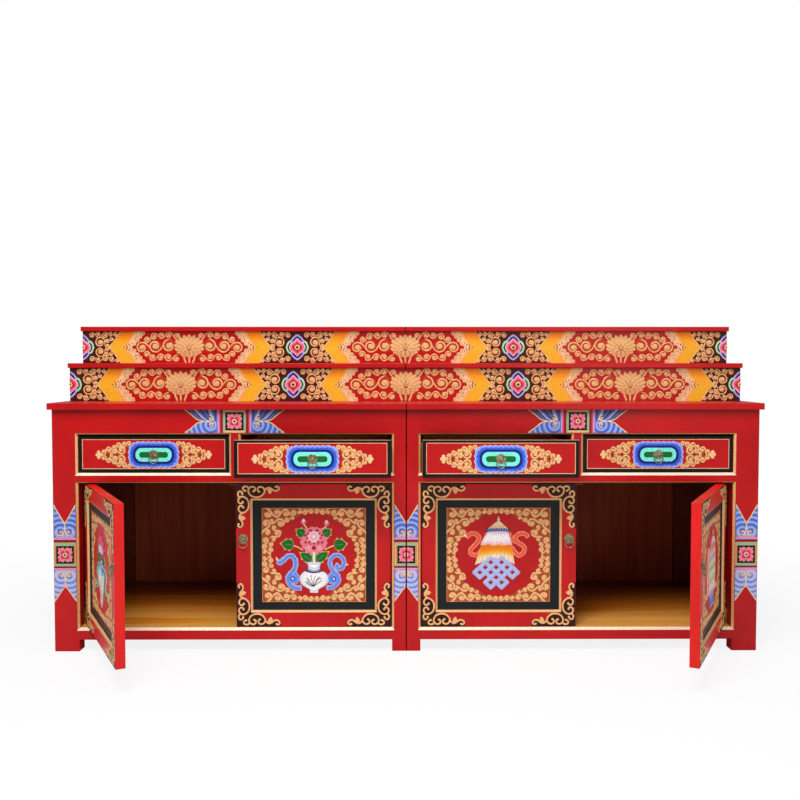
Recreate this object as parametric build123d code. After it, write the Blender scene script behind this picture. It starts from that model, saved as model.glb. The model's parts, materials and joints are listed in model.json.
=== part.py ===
from build123d import *
import os

# Tibetan altar table: two mirror-image cabinets stand side by side, and each carries two steps for
# offerings. Each cabinet has two drawers over two framed doors that turn on wooden pivot pins.
# Millimetres, +Z up, fronts towards -Y. The origin is on the floor at the front of the seam between
# the cabinets. The left cabinet is modelled, at negative X, and the right one is its mirror image.
# The outer doors stand open and the inner drawers are pulled out, as in use.

# Cabinet body
cabinet_width = 990.0
cabinet_depth = 560.0
outer_post_width = 70.0
inner_post_width = 40.0
post_depth = 40.0
foot_height = 33.0
bottom_rail_height = 33.0
door_opening_height = 407.5
drawer_rail_height = 30.5
drawer_opening_height = 106.0
frieze_height = 72.0
divider_width = 32.0
opening_bevel = 6.5
arris = 2.0

# Joinery of the frame
rail_thickness = 28.0
top_rail_height = 30.0
tenon_length = 16.0
tenon_thickness = 10.0
tenon_shoulder = 5.0
tenon_fit = 0.1

# Boards and panels
top_thickness = 18.0
top_overhang = 10.0
board_edge_radius = 2.0
panel_board_thickness = 10.0
floor_thickness = 14.0
rail_rebate = 14.0

# Steps
step_height = 112.0
step_board_thickness = 14.0
step_overhang = 5.0
step_wall = 18.0
lower_step_setback = 145.0
upper_step_setback = 112.0

# Doors
door_thickness = 24.0
door_setback = 7.0
door_side_gap = 2.5
door_meeting_gap = 2.0
door_end_gap = 1.5
door_member_width = 48.5
door_bead = 7.5
door_panel_thickness = 8.0
door_groove_depth = 6.0
door_groove_end = 10.0
door_panel_fit = 0.2
door_open_angle = 62.0

# Door pivots and stops
pivot_inset = 26.6
pivot_radius = 5.0
pivot_clearance = 0.05
top_pin_length = 14.0
bottom_pin_length = 8.0
pin_seat_gap = 0.2
hinge_arris = 3.0
stop_width = 44.0
stop_drop = 8.0
stop_gap = 0.4

# Drawers and their runners
drawer_setback = 7.0
drawer_side_gap = 2.0
drawer_top_gap = 4.5
drawer_running_gap = 0.5
drawer_front_thickness = 20.0
drawer_side_thickness = 12.0
drawer_side_inset = 1.0
drawer_side_height = 84.0
drawer_bottom_thickness = 6.0
drawer_bottom_rise = 6.0
drawer_groove_depth = 6.0
drawer_rear_gap = 33.0
drawer_pull_out = 119.0
runner_thickness = 14.0
runner_bearing = 30.0
guide_height = 60.0

# Ring pulls
pull_plate_radius = 14.0
pull_plate_thickness = 1.5
pull_boss_radius = 7.0
pull_boss_height = 1.0
pull_ring_radius = 12.0
pull_wire_radius = 1.5
pull_eye_clearance = 0.5
pull_eye_wall = 1.6
pull_eye_width = 4.0
pull_shank_radius = 1.5
pull_shank_depth = 12.0
pull_shank_fit = 0.05
door_pull_inset = 19.5
door_pull_height = 317.0

# Levels, from the floor up
door_opening_bottom = foot_height + bottom_rail_height
door_opening_top = door_opening_bottom + door_opening_height
drawer_opening_bottom = door_opening_top + drawer_rail_height
drawer_opening_top = drawer_opening_bottom + drawer_opening_height
body_top = drawer_opening_top + frieze_height
table_top = body_top + top_thickness
lower_step_top = table_top + step_height
top_rail_bottom = body_top - top_rail_height
floor_bottom = door_opening_bottom - floor_thickness

# Lines across the left cabinet, from its outer side to the seam at zero
outer_side = -cabinet_width
opening_left = outer_side + outer_post_width
opening_right = -inner_post_width
opening_middle = (opening_left + opening_right) / 2
divider_left = opening_middle - divider_width / 2
divider_right = opening_middle + divider_width / 2
outer_rebate = outer_side + rail_thickness - rail_rebate
inner_rebate = rail_rebate - rail_thickness

# Lines from the front to the back
rear_post_front = cabinet_depth - post_depth
rear_rail_front = cabinet_depth - rail_thickness
rear_rebate = rear_rail_front + rail_rebate

# Doors, from the pivot axis
door_width = (opening_right - opening_left - door_meeting_gap) / 2 - door_side_gap
door_bottom = door_opening_bottom + door_end_gap
door_top = door_opening_top - door_end_gap
hinge_edge = -pivot_inset
free_edge = hinge_edge + door_width
door_face = -door_thickness / 2
pivot_y = door_setback + door_thickness / 2
outer_pivot_x = opening_left + door_side_gap + pivot_inset
inner_pivot_x = opening_right - door_side_gap - pivot_inset

# Pulls, from the wood's face
eye_hole_radius = pull_wire_radius + pull_eye_clearance
eye_radius = eye_hole_radius + pull_eye_wall
ring_standoff = pull_plate_thickness + pull_boss_height + eye_radius


def block(x0, x1, y0, y1, z0, z1):
    # a box given by the places of its six faces
    return Pos((x0 + x1) / 2, (y0 + y1) / 2, (z0 + z1) / 2) * Box(x1 - x0, y1 - y0, z1 - z0)


def bevelled_opening(x0, x1, z0, z1, face_y, bevel, depth):
    # the tool for an opening whose front arris is cut back at 45 degrees, with mitred corners
    lead = 1.0
    reach = bevel + lead
    front = Plane(((x0 + x1) / 2, face_y - lead, (z0 + z1) / 2), x_dir=(1, 0, 0), z_dir=(0, 1, 0))
    mouth = extrude(front * Rectangle(x1 - x0 + 2 * reach, z1 - z0 + 2 * reach), reach, taper=45)
    return mouth + block(x0, x1, face_y, face_y + depth, z0, z1)


def arris_tool(x, y, z0, z1, size):
    # the tool that cuts an upright corner at (x, y) back by size on both faces
    side = size * 2 ** 0.5
    return Pos(x, y, (z0 + z1) / 2) * Rot(0, 0, 45) * Box(side, side, z1 - z0)


def cross_rail(x0, x1, y0, y1, z0, z1):
    # a rail along X with a tenon at each end, and the tool for its two mortises
    middle = (y0 + y1) / 2
    tenons = [x0 - tenon_length, x1 + tenon_length, middle - tenon_thickness / 2,
              middle + tenon_thickness / 2, z0 + tenon_shoulder, z1 - tenon_shoulder]
    grow = [-tenon_fit, tenon_fit] * 3
    rail = block(x0, x1, y0, y1, z0, z1) + block(*tenons)
    return rail, block(*[place + step for place, step in zip(tenons, grow)])


def side_rail(x0, x1, y0, y1, z0, z1):
    # a rail along Y with a tenon at each end, and the tool for its two mortises
    middle = (x0 + x1) / 2
    tenons = [middle - tenon_thickness / 2, middle + tenon_thickness / 2, y0 - tenon_length,
              y1 + tenon_length, z0 + tenon_shoulder, z1 - tenon_shoulder]
    grow = [-tenon_fit, tenon_fit] * 3
    rail = block(x0, x1, y0, y1, z0, z1) + block(*tenons)
    return rail, block(*[place + step for place, step in zip(tenons, grow)])


def rounded_board(x0, x1, y0, y1, z0, z1):
    # a shelf board with its front arrises rounded
    board = block(x0, x1, y0, y1, z0, z1)
    return fillet(board.faces().sort_by(Axis.Y)[0].edges(), board_edge_radius)


def pivot_bore(x, z0, z1):
    # the tool for a door pin's bore in a rail
    height = z1 - z0
    return Pos(x, pivot_y, (z0 + z1) / 2) * Cylinder(pivot_radius + pivot_clearance, height)


def front_openings():
    # the tools for the door opening and the two drawer openings
    return [
        bevelled_opening(opening_left, opening_right, door_opening_bottom, door_opening_top,
                         0, opening_bevel, post_depth),
        bevelled_opening(opening_left, divider_left, drawer_opening_bottom, drawer_opening_top,
                         0, opening_bevel, post_depth),
        bevelled_opening(divider_right, opening_right, drawer_opening_bottom, drawer_opening_top,
                         0, opening_bevel, post_depth),
    ]


def cabinet_frame():
    # posts, rails and divider of the left cabinet, by name
    pieces, mortises = {}, []
    top_bore_depth = top_pin_length + bottom_pin_length
    bottom_bore_depth = bottom_pin_length - door_end_gap + pin_seat_gap
    levels = {
        "bottom_rail": (foot_height, door_opening_bottom),
        "drawer_rail": (door_opening_top, drawer_opening_bottom),
        "frieze_rail": (drawer_opening_top, body_top),
    }
    openings = front_openings()
    for name, (z0, z1) in levels.items():
        rail, mortise = cross_rail(opening_left, opening_right, 0, post_depth, z0, z1)
        pieces[name] = rail - openings
        mortises.append(mortise)
    for x in (outer_pivot_x, inner_pivot_x):
        pieces["bottom_rail"] -= pivot_bore(x, door_opening_bottom - bottom_bore_depth, door_opening_bottom)
        pieces["drawer_rail"] -= pivot_bore(x, door_opening_top, door_opening_top + top_bore_depth)
    pieces["drawer_divider"] = block(divider_left, divider_right, 0, post_depth,
                                     drawer_opening_bottom, drawer_opening_top) - openings

    side_rails, rear_rails = [], []
    for x0, x1, rebate0, rebate1 in (
        (outer_side, outer_side + rail_thickness, outer_rebate, outer_side + rail_thickness),
        (-rail_thickness, 0, -rail_thickness, inner_rebate),
    ):
        lower, lower_mortise = side_rail(x0, x1, post_depth, rear_post_front, foot_height, door_opening_bottom)
        lower -= block(rebate0, rebate1, post_depth, rear_post_front, floor_bottom, door_opening_bottom)
        upper, upper_mortise = side_rail(x0, x1, post_depth, rear_post_front, top_rail_bottom, body_top)
        side_rails += [lower, upper]
        mortises += [lower_mortise, upper_mortise]
    lower, lower_mortise = cross_rail(opening_left, opening_right, rear_rail_front, cabinet_depth,
                                      foot_height, door_opening_bottom)
    lower -= block(opening_left, opening_right, rear_rail_front, rear_rebate, floor_bottom, door_opening_bottom)
    upper, upper_mortise = cross_rail(opening_left, opening_right, rear_rail_front, cabinet_depth,
                                      top_rail_bottom, body_top)
    rear_rails += [lower, upper]
    mortises += [lower_mortise, upper_mortise]

    def post(x0, x1, y0, y1):
        return block(x0, x1, y0, y1, 0, body_top) - mortises

    outer = post(outer_side, opening_left, 0, post_depth) - openings
    inner = post(opening_right, 0, 0, post_depth) - openings
    pieces["outer_front_post"] = outer - arris_tool(outer_side, 0, 0, body_top, arris)
    pieces["inner_front_post"] = inner - arris_tool(0, 0, 0, body_top, arris)
    rear_posts = [post(outer_side, opening_left, rear_post_front, cabinet_depth),
                  post(opening_right, 0, rear_post_front, cabinet_depth)]
    pieces["rear_frames"] = rear_posts + rear_rails
    pieces["side_rails"] = side_rails
    return pieces


def cabinet_boards():
    # boards and panels that the left cabinet's frame holds, by name
    floor = block(outer_rebate, inner_rebate, post_depth, rear_rebate, floor_bottom, door_opening_bottom)
    for x0, x1 in ((outer_side, opening_left), (opening_right, 0)):
        floor -= block(x0, x1, rear_post_front, cabinet_depth, 0, body_top)
    return {
        "floor_boards": floor,
        "back_panels": block(opening_left, opening_right, rear_rebate, rear_rebate + panel_board_thickness,
                             door_opening_bottom, top_rail_bottom),
        "side_panels": [
            block(outer_rebate - panel_board_thickness, outer_rebate, post_depth, rear_post_front,
                  door_opening_bottom, top_rail_bottom),
            block(inner_rebate, inner_rebate + panel_board_thickness, post_depth, rear_post_front,
                  door_opening_bottom, top_rail_bottom),
        ],
        "top_board": rounded_board(outer_side - top_overhang, 0, -top_overhang, cabinet_depth,
                                   body_top, table_top),
        "door_stops": block(opening_middle - stop_width / 2, opening_middle + stop_width / 2,
                            door_setback + door_thickness + stop_gap, post_depth,
                            door_opening_top - stop_drop, door_opening_top),
    }


def drawer_runners():
    # outer, middle and inner runner: a bearer under the drawers and a guide beside them
    lines = (
        (outer_rebate, opening_left + runner_bearing, outer_rebate, opening_left, rear_post_front),
        (divider_left - runner_bearing, divider_right + runner_bearing, divider_left, divider_right,
         rear_rebate),
        (opening_right - runner_bearing, inner_rebate, opening_right, inner_rebate, rear_post_front),
    )
    top = drawer_opening_bottom
    return [
        block(bearer0, bearer1, post_depth, back, top - runner_thickness, top)
        + block(guide0, guide1, post_depth, back, top, top + guide_height)
        for bearer0, bearer1, guide0, guide1, back in lines
    ]


def step(setback, bottom):
    # a step of the left cabinet: the four walls of its box, and the board on them
    z1 = bottom + step_height - step_board_thickness
    back = cabinet_depth - step_wall
    walls = [
        block(outer_side, 0, setback, setback + step_wall, bottom, z1),
        block(outer_side, 0, back, cabinet_depth, bottom, z1),
        block(outer_side, outer_side + step_wall, setback + step_wall, back, bottom, z1),
        block(-step_wall, 0, setback + step_wall, back, bottom, z1),
    ]
    board = rounded_board(outer_side - step_overhang, 0, setback - step_overhang, cabinet_depth,
                          z1, bottom + step_height)
    return walls, board


def pull(x, face_y, z):
    # a ring pull on a face towards -Y: back plate, eye with its shank, ring, and the shank's hole
    plate = Pos(x, face_y - pull_plate_thickness / 2, z) * Cylinder(
        pull_plate_radius, pull_plate_thickness, rotation=(90, 0, 0))
    plate = chamfer(plate.faces().sort_by(Axis.Y)[0].edges(), pull_plate_thickness / 2)
    boss = Pos(x, face_y - pull_plate_thickness - pull_boss_height / 2, z) * Cylinder(
        pull_boss_radius, pull_boss_height, rotation=(90, 0, 0))
    eye_y = face_y - ring_standoff
    shank_front = eye_y + eye_hole_radius + pull_eye_wall / 2
    shank_back = face_y + pull_shank_depth
    shank_middle = Pos(x, (shank_front + shank_back) / 2, z)
    shank = shank_middle * Cylinder(pull_shank_radius, shank_back - shank_front, rotation=(90, 0, 0))
    hole = shank_middle * Cylinder(pull_shank_radius + pull_shank_fit, shank_back - shank_front,
                                   rotation=(90, 0, 0))
    ear = Pos(x, eye_y, z) * (
        Cylinder(eye_radius, pull_eye_width, rotation=(0, 90, 0))
        - Cylinder(eye_hole_radius, pull_eye_width, rotation=(0, 90, 0)))
    ring = Pos(x, eye_y, z - pull_ring_radius) * Torus(pull_ring_radius, pull_wire_radius,
                                                       rotation=(90, 0, 0))
    return {"plate": [plate + boss - hole, shank + ear], "ring": ring}, hole


def door():
    # a door hung at its left edge, closed, with its pivot axis on the Z axis
    x0, x1 = hinge_edge + door_member_width, free_edge - door_member_width
    z0, z1 = door_bottom + door_member_width, door_top - door_member_width
    back = door_face + door_thickness
    groove_front = door_face + door_bead
    groove_back = groove_front + door_panel_thickness
    sight = bevelled_opening(x0, x1, z0, z1, door_face, door_bead, door_thickness)
    groove = block(x0 - door_groove_depth, x1 + door_groove_depth, groove_front, groove_back,
                   z0 - door_groove_depth, z1 + door_groove_depth)
    tongues = [
        block(x0 - door_groove_depth, x1 + door_groove_depth, groove_front, groove_back,
              door_bottom + door_groove_end, z0),
        block(x0 - door_groove_depth, x1 + door_groove_depth, groove_front, groove_back,
              z1, door_top - door_groove_end),
    ]
    parts, hole = pull(free_edge - door_pull_inset, door_face, door_pull_height)
    hinge_stile = block(hinge_edge, x0, door_face, back, door_bottom, door_top) - tongues - groove - sight
    hinge_stile -= arris_tool(hinge_edge, door_face, door_bottom, door_top, hinge_arris)
    hinge_stile += Pos(0, 0, door_top + top_pin_length / 2) * Cylinder(pivot_radius, top_pin_length)
    hinge_stile += Pos(0, 0, door_bottom - bottom_pin_length / 2) * Cylinder(pivot_radius, bottom_pin_length)
    free_stile = block(x1, free_edge, door_face, back, door_bottom, door_top) - tongues - groove - sight - hole
    rails = [
        block(x0, x1, door_face, back, door_bottom, z0) + tongues[0] - groove - sight,
        block(x0, x1, door_face, back, z1, door_top) + tongues[1] - groove - sight,
    ]
    fit = door_groove_depth - door_panel_fit
    parts["frame"] = [hinge_stile, free_stile] + rails
    parts["panel"] = block(x0 - fit, x1 + fit, groove_front, groove_back, z0 - fit, z1 + fit)
    return parts


def drawer(x0, x1, pulled):
    # a drawer of the left cabinet between two opening edges, pulled out by a distance
    face = drawer_setback - pulled
    left, right = x0 + drawer_side_gap, x1 - drawer_side_gap
    bottom = drawer_opening_bottom + drawer_running_gap
    top = drawer_opening_top - drawer_top_gap
    back = rear_post_front - drawer_rear_gap - pulled
    inner_face = face + drawer_front_thickness
    outside0, outside1 = left + drawer_side_inset, right - drawer_side_inset
    inside0, inside1 = outside0 + drawer_side_thickness, outside1 - drawer_side_thickness
    base = bottom + drawer_bottom_rise
    base_top = base + drawer_bottom_thickness
    tray = block(inside0 - drawer_groove_depth, inside1 + drawer_groove_depth,
                 inner_face - drawer_groove_depth, back, base, base_top)
    parts, hole = pull((left + right) / 2, face, (bottom + top) / 2)
    sides = [
        block(outside0, inside0, inner_face, back, bottom, bottom + drawer_side_height) - tray,
        block(inside1, outside1, inner_face, back, bottom, bottom + drawer_side_height) - tray,
    ]
    rear = block(inside0, inside1, back - drawer_side_thickness, back, base_top, bottom + drawer_side_height)
    parts["front"] = block(left, right, face, inner_face, bottom, top) - tray - hole
    parts["box"] = sides + [rear, tray]
    return parts


def placed(shape, place):
    # a shape, or each of a list of shapes, put in its place
    return [place * solid for solid in shape] if isinstance(shape, list) else place * shape


def mirrored(shape, plane=Plane.YZ):
    # the mirror image of a shape, or of each of a list of shapes
    return [mirror(solid, plane) for solid in shape] if isinstance(shape, list) else mirror(shape, plane)


def as_list(shape):
    return shape if isinstance(shape, list) else [shape]


nodes = {}

# The frame and boards of both cabinets: a piece that shows at the front has a node of its own on
# each side, and the same pieces of both cabinets that lie inside or behind share one.
shared = {"drawer_divider": "drawer_dividers"}
own = ["outer_front_post", "inner_front_post", "bottom_rail", "drawer_rail", "frieze_rail", "top_board"]
body = {**cabinet_frame(), **cabinet_boards(), "drawer_runners": drawer_runners()}
for name, shape in body.items():
    if name in own:
        nodes[f"left_{name}"] = shape
        nodes[f"right_{name}"] = mirrored(shape)
    else:
        nodes[shared.get(name, name)] = as_list(shape) + as_list(mirrored(shape))

for name, setback, bottom in (
    ("lower_step", lower_step_setback, table_top),
    ("upper_step", lower_step_setback + upper_step_setback, lower_step_top),
):
    walls, board = step(setback, bottom)
    for side, turn in (("left", lambda shape: shape), ("right", mirrored)):
        nodes[f"{side}_{name}_box"] = turn(walls)
        nodes[f"{side}_{name}_board"] = turn(board)

# Doors 1 to 4 and drawers 1 to 4, from left to right
outer_place = Pos(outer_pivot_x, pivot_y, 0) * Rot(0, 0, -door_open_angle)
inner_place = Pos(inner_pivot_x, pivot_y, 0)
for name, shape in door().items():
    outer = placed(shape, outer_place)
    inner = placed(mirrored(shape), inner_place)
    node = {"plate": "pull_plate", "ring": "pull_ring"}.get(name, name)
    for number, solid in zip((1, 2, 3, 4), (outer, inner, mirrored(inner), mirrored(outer))):
        nodes[f"door_{number}_{node}"] = solid

closed_drawer = drawer(opening_left, divider_left, 0)
open_drawer = drawer(divider_right, opening_right, drawer_pull_out)
for name in closed_drawer:
    outer, inner = closed_drawer[name], open_drawer[name]
    node = {"plate": "pull_plate", "ring": "pull_ring"}.get(name, name)
    for number, solid in zip((1, 2, 3, 4), (outer, inner, mirrored(inner), mirrored(outer))):
        nodes[f"drawer_{number}_{node}"] = solid

os.makedirs("parts", exist_ok=True)
for name, shape in nodes.items():
    solids = [solid for piece in as_list(shape) for solid in piece.solids()]
    export_step(solids[0] if len(solids) == 1 else Compound(children=solids), f"parts/{name}.step")
print(len(nodes), "nodes")
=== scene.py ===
import json
from math import atan2, cos, degrees, pi, radians, sin

import bmesh
import bpy
import numpy as np
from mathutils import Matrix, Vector

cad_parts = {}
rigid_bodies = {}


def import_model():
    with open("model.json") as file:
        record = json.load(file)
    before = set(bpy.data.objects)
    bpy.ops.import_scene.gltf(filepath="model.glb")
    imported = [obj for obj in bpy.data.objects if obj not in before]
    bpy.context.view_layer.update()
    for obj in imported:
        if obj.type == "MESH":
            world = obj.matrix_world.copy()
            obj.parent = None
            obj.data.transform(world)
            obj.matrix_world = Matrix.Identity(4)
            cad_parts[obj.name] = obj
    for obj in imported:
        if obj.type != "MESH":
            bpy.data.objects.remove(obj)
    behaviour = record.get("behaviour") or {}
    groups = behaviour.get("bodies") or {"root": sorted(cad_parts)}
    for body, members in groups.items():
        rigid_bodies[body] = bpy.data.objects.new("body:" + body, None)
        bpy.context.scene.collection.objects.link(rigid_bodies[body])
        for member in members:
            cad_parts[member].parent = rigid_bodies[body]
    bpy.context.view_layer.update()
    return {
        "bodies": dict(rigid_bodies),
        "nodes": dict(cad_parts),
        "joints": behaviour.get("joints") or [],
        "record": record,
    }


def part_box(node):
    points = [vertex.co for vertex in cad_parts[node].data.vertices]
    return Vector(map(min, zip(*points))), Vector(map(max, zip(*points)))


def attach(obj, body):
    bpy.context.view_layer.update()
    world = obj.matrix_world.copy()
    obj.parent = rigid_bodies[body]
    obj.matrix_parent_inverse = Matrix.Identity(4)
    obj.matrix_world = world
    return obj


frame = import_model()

mm = 0.001


def linear(code):
    # an sRGB hex colour turned to linear red, green and blue
    srgb = np.array([int(code[i:i + 2], 16) for i in (1, 3, 5)]) / 255
    return np.where(srgb <= 0.04045, srgb / 12.92, ((srgb + 0.055) / 1.055) ** 2.4)


# Mineral colours and gold of the painted ornament, as the eye reads them in even light
pigments = {
    "gold": "#F2BC80", "goldEdge": "#AC602E", "goldPale": "#F8D4A4", "goldMid": "#D08F54",
    "cream": "#FFEBCF", "creamShade": "#EBBF92", "red": "#C4100F", "redDeep": "#8E0F16",
    "maroon": "#300602", "blackGreen": "#0D1518", "black": "#0C0606", "orange": "#F5820E",
    "amber": "#FFA41C", "yellow": "#FABA2C", "navy": "#15187C", "blue": "#3560DA", "sky": "#7296F2",
    "lavender": "#B9B4F4", "violet": "#7A6CC8", "mint": "#A4ECC0", "turquoise": "#7DF3E2",
    "green": "#0A6E22", "greenDark": "#054014", "sage": "#9CBB90", "white": "#FFFFFF",
    "shade": "#C4D4EC", "pink": "#F47E96", "pinkPale": "#FBC3CC", "rose": "#D42C56", "crimson": "#A80F30",
    "peach": "#FBBE86", "coral": "#F8643C", "coralPale": "#FFA080", "bole": "#B04A26",
    "haze": "#B2C2F2", "umber": "#6A2C12", "russet": "#480E03", "clay": "#BC401E", "deep": "#3A54BE",
    "lilac": "#CBC2F2", "steel": "#22303C", "dusk": "#443E84", "slate": "#5E70B8",
}
tint = {name: linear(code) for name, code in pigments.items()}
goldSpot = ("goldEdge", "gold", "gold")
goldBead = ("goldEdge", "gold", "goldPale")
goldPetal = ("goldEdge", "gold", "gold", "gold")
paleGoldPetal = ("goldEdge", "gold", "goldPale", "gold")
greenEye = ("green", "greenDark", "black")


def blend(names, count):
    # colours that run evenly through the named ones
    known = np.array([tint[name] for name in names])
    wanted = np.linspace(0, len(names) - 1, count)
    return np.stack([np.interp(wanted, range(len(names)), known[:, channel]) for channel in range(3)], 1)


# Curves in the plane of a painted face, in millimetres across and up
def smooth(points, count=40, loop=False):
    # a Catmull-Rom curve through the points: each span is a cubic fixed by its ends and their neighbours
    points = np.asarray(points, float)
    before, after = 2 * points[:1] - points[1:2], 2 * points[-1:] - points[-2:-1]
    if loop:
        before, after = points[-1:], points[:2]
    chain = np.concatenate([before, points, after])
    spans = len(chain) - 3
    at = np.linspace(0, spans, count, endpoint=not loop)
    i = np.minimum(at.astype(int), spans - 1)
    t = (at - i)[:, None]
    p0, p1, p2, p3 = chain[i], chain[i + 1], chain[i + 2], chain[i + 3]
    return 0.5 * (2 * p1 + (p2 - p0) * t + (2 * p0 - 5 * p1 + 4 * p2 - p3) * t ** 2
                  + (3 * p1 - p0 - 3 * p2 + p3) * t ** 3)


def mirrored(points, across=-1, up=1):
    # an outline's points, run on through their mirror image back to the first
    points = np.array(points, float)
    return np.concatenate([points, points[-2:0:-1] * (across, up)])


def arc(centre, radius, start, end, count):
    # part of a circle from one angle to another, in degrees
    a = np.radians(np.linspace(start, end, count))
    return np.stack([centre[0] + radius * np.cos(a), centre[1] + radius * np.sin(a)], 1)


def rounded(halfU, halfV, corner, count=72):
    # a closed rectangle with round corners: the sum of a smaller rectangle and a circle
    a = np.linspace(0, 2 * pi, count, endpoint=False)
    c, s = np.cos(a), np.sin(a)
    box = np.stack([np.sign(c) * (halfU - corner), np.sign(s) * (halfV - corner)], 1)
    return box + corner * np.stack([c, s], 1)


def lengths(path):
    # how far along the path each point lies
    return np.r_[0, np.cumsum(np.linalg.norm(np.diff(path, axis=0), axis=1))]


def evenly(outline, count):
    # the same closed outline with its points spread evenly along it
    closed = np.concatenate([outline, outline[:1]])
    run = lengths(closed)
    at = np.linspace(0, run[-1], count, endpoint=False)
    return np.stack([np.interp(at, run, closed[:, k]) for k in (0, 1)], 1)


def scalloped(outline, bumps, depth):
    # a closed outline pushed outwards in round bumps: the sine of its length, made positive
    step = np.roll(outline, -1, 0) - np.roll(outline, 1, 0)
    step /= np.linalg.norm(step, axis=1, keepdims=True)
    run = lengths(np.concatenate([outline, outline[:1]]))
    t = run[:-1] / run[-1]
    outwards = np.stack([step[:, 1], -step[:, 0]], 1)
    return outline + outwards * (depth * np.abs(np.sin(pi * bumps * t)))[:, None]


def canvasAt(body, group, origin, right=(1, 0, 0)):
    # a face that is painted: the body and group it belongs to, and its origin, right, up and outward axes
    right, up = np.array(right, float), np.array((0, 0, 1.0))
    return {"body": body, "group": group, "kind": "painting", "origin": np.array(origin, float),
            "axes": np.array([right, up, np.cross(right, up)])}


def gold(canvas):
    # the same face, for strokes of gold
    return {**canvas, "kind": "gilding"}


def moved(canvas, u=0, v=0, out=0, turn=0, flipU=False, flipV=False, size=1):
    # the same face with its design shifted, turned, mirrored or resized in its own plane
    across, up, outwards = canvas["axes"]
    c, s = cos(radians(turn)), sin(radians(turn))
    turned = np.array([across * c + up * s, up * c - across * s])
    turned *= np.array([[-size if flipU else size], [-size if flipV else size]])
    origin = canvas["origin"] + (across * u + up * v + outwards * out) * mm
    return {**canvas, "origin": origin, "axes": np.array([turned[0], turned[1], outwards])}


def halves(canvas):
    # the face as it is, and mirrored left to right
    return [moved(canvas, flipU=flip) for flip in (False, True)]


def quarters(canvas):
    # the face mirrored to each of its four quarters
    return [moved(half, flipV=flip) for half in halves(canvas) for flip in (False, True)]


works = {}      # what is painted so far: (group, kind) -> its body and lists of points, faces and colours
sunk = 0.15     # how far the underside of a stroke lies inside the wood


def pour(canvas, rings, colours):
    # a closed solid from rings of points: neighbours in a ring and in the next ring are joined by quads,
    # and the first and the last ring close on a pole
    count, around = rings.shape[:2]
    i, j = np.arange(count - 1)[:, None] * around, np.arange(around)
    k = (j + 1) % around
    quads = np.stack([i + j, i + k, i + around + k, i + around + j], -1).reshape(-1, 4)
    first = count * around
    last, top = first + 1, first - around
    triangles = np.concatenate([np.stack([j * 0 + first, k, j], 1),
                                np.stack([j * 0 + last, top + j, top + k], 1)])
    shades = np.broadcast_to(colours, rings.shape).reshape(-1, 3)
    shades = np.concatenate([shades, shades[:around].mean(0, keepdims=True),
                             shades[-around:].mean(0, keepdims=True)])
    points = np.concatenate([rings.reshape(-1, 3), rings[:1].mean(1), rings[-1:].mean(1)]) @ canvas["axes"]
    corners = np.concatenate([quads[:, [0, 1, 2]], quads[:, [0, 2, 3]], triangles])
    a, b, c = (points[corners[:, n]] for n in range(3))
    if np.einsum("ij,ij->i", a, np.cross(b, c)).sum() < 0:
        quads, triangles = quads[:, ::-1], triangles[:, ::-1]
    work = works.setdefault((canvas["group"], canvas["kind"]), {
        "body": canvas["body"], "points": [], "quads": [], "triangles": [], "colours": [], "count": 0})
    work["points"].append(canvas["origin"] + points * mm)
    work["quads"].append(quads + work["count"])
    work["triangles"].append(triangles + work["count"])
    work["colours"].append(shades)
    work["count"] += len(points)


lineAcross = np.array([1, 0.74, 0, -0.74, -1])      # a line's section from edge to edge, in half widths
lineHeight = np.array([0, 0.7, 1, 0.7, 0])


def goldLine(light="gold", dark="goldEdge"):
    # colours across a raised line: dark along both edges, partly the painting's brown outlines and partly
    # painted shade on its flanks, and light on its crown as a painted highlight
    return np.array([tint[name] for name in (dark, light, light, light, dark)])


def ribbon(canvas, path, width, colours, lift, rise=0.8, ends=(0.4, 0.4)):
    # a painted line: a low half-round section is carried along the path, and ends narrow the two tips
    ahead = np.roll(path, -1, 0) - np.roll(path, 1, 0)
    ahead[0], ahead[-1] = path[1] - path[0], path[-1] - path[-2]
    ahead /= np.maximum(np.linalg.norm(ahead, axis=1, keepdims=True), 1e-9)
    side = np.stack([-ahead[:, 1], ahead[:, 0]], 1)
    full = np.ones(len(path))
    full[0], full[-1] = ends
    half = 0.5 * width * full
    across = path[:, None, :] + side[:, None, :] * (half[:, None] * lineAcross)[:, :, None]
    height = lift + rise * full[:, None] * lineHeight
    height[:, [0, -1]] = -sunk
    pour(canvas, np.concatenate([across, height[:, :, None]], 2), colours)


def sheet(canvas, curveA, curveB, colours, lift, rise=0.0, rows=2):
    # a paint layer between two curves: each point of the first is joined to its fellow on the second,
    # and the layer is crowned by rise across its middle; colours go from the first curve to the second
    curveA, curveB = np.asarray(curveA, float)[:, None], np.asarray(curveB, float)[:, None]
    s = np.linspace(0, 1, rows)
    top = curveA * (1 - s)[:, None] + curveB * s[:, None]
    height = np.broadcast_to(lift + rise * np.sin(pi * s) ** 0.7, top.shape[:2])[..., None]
    crown = np.concatenate([top, height], 2)
    under = crown[:, [-1, 0]] * (1, 1, 0) - (0, 0, sunk)
    colours = np.broadcast_to(colours, crown.shape)
    pour(canvas, np.concatenate([crown, under], 1), np.concatenate([colours, colours[:, [-1, 0]]], 1))


domeSteps = np.array([1, 1, 0.94, 0.8, 0.6, 0.35, 0.08])
domeHeights = np.array([0, 0.35, 0.62, 0.84, 0.95, 1, 1])


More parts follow.
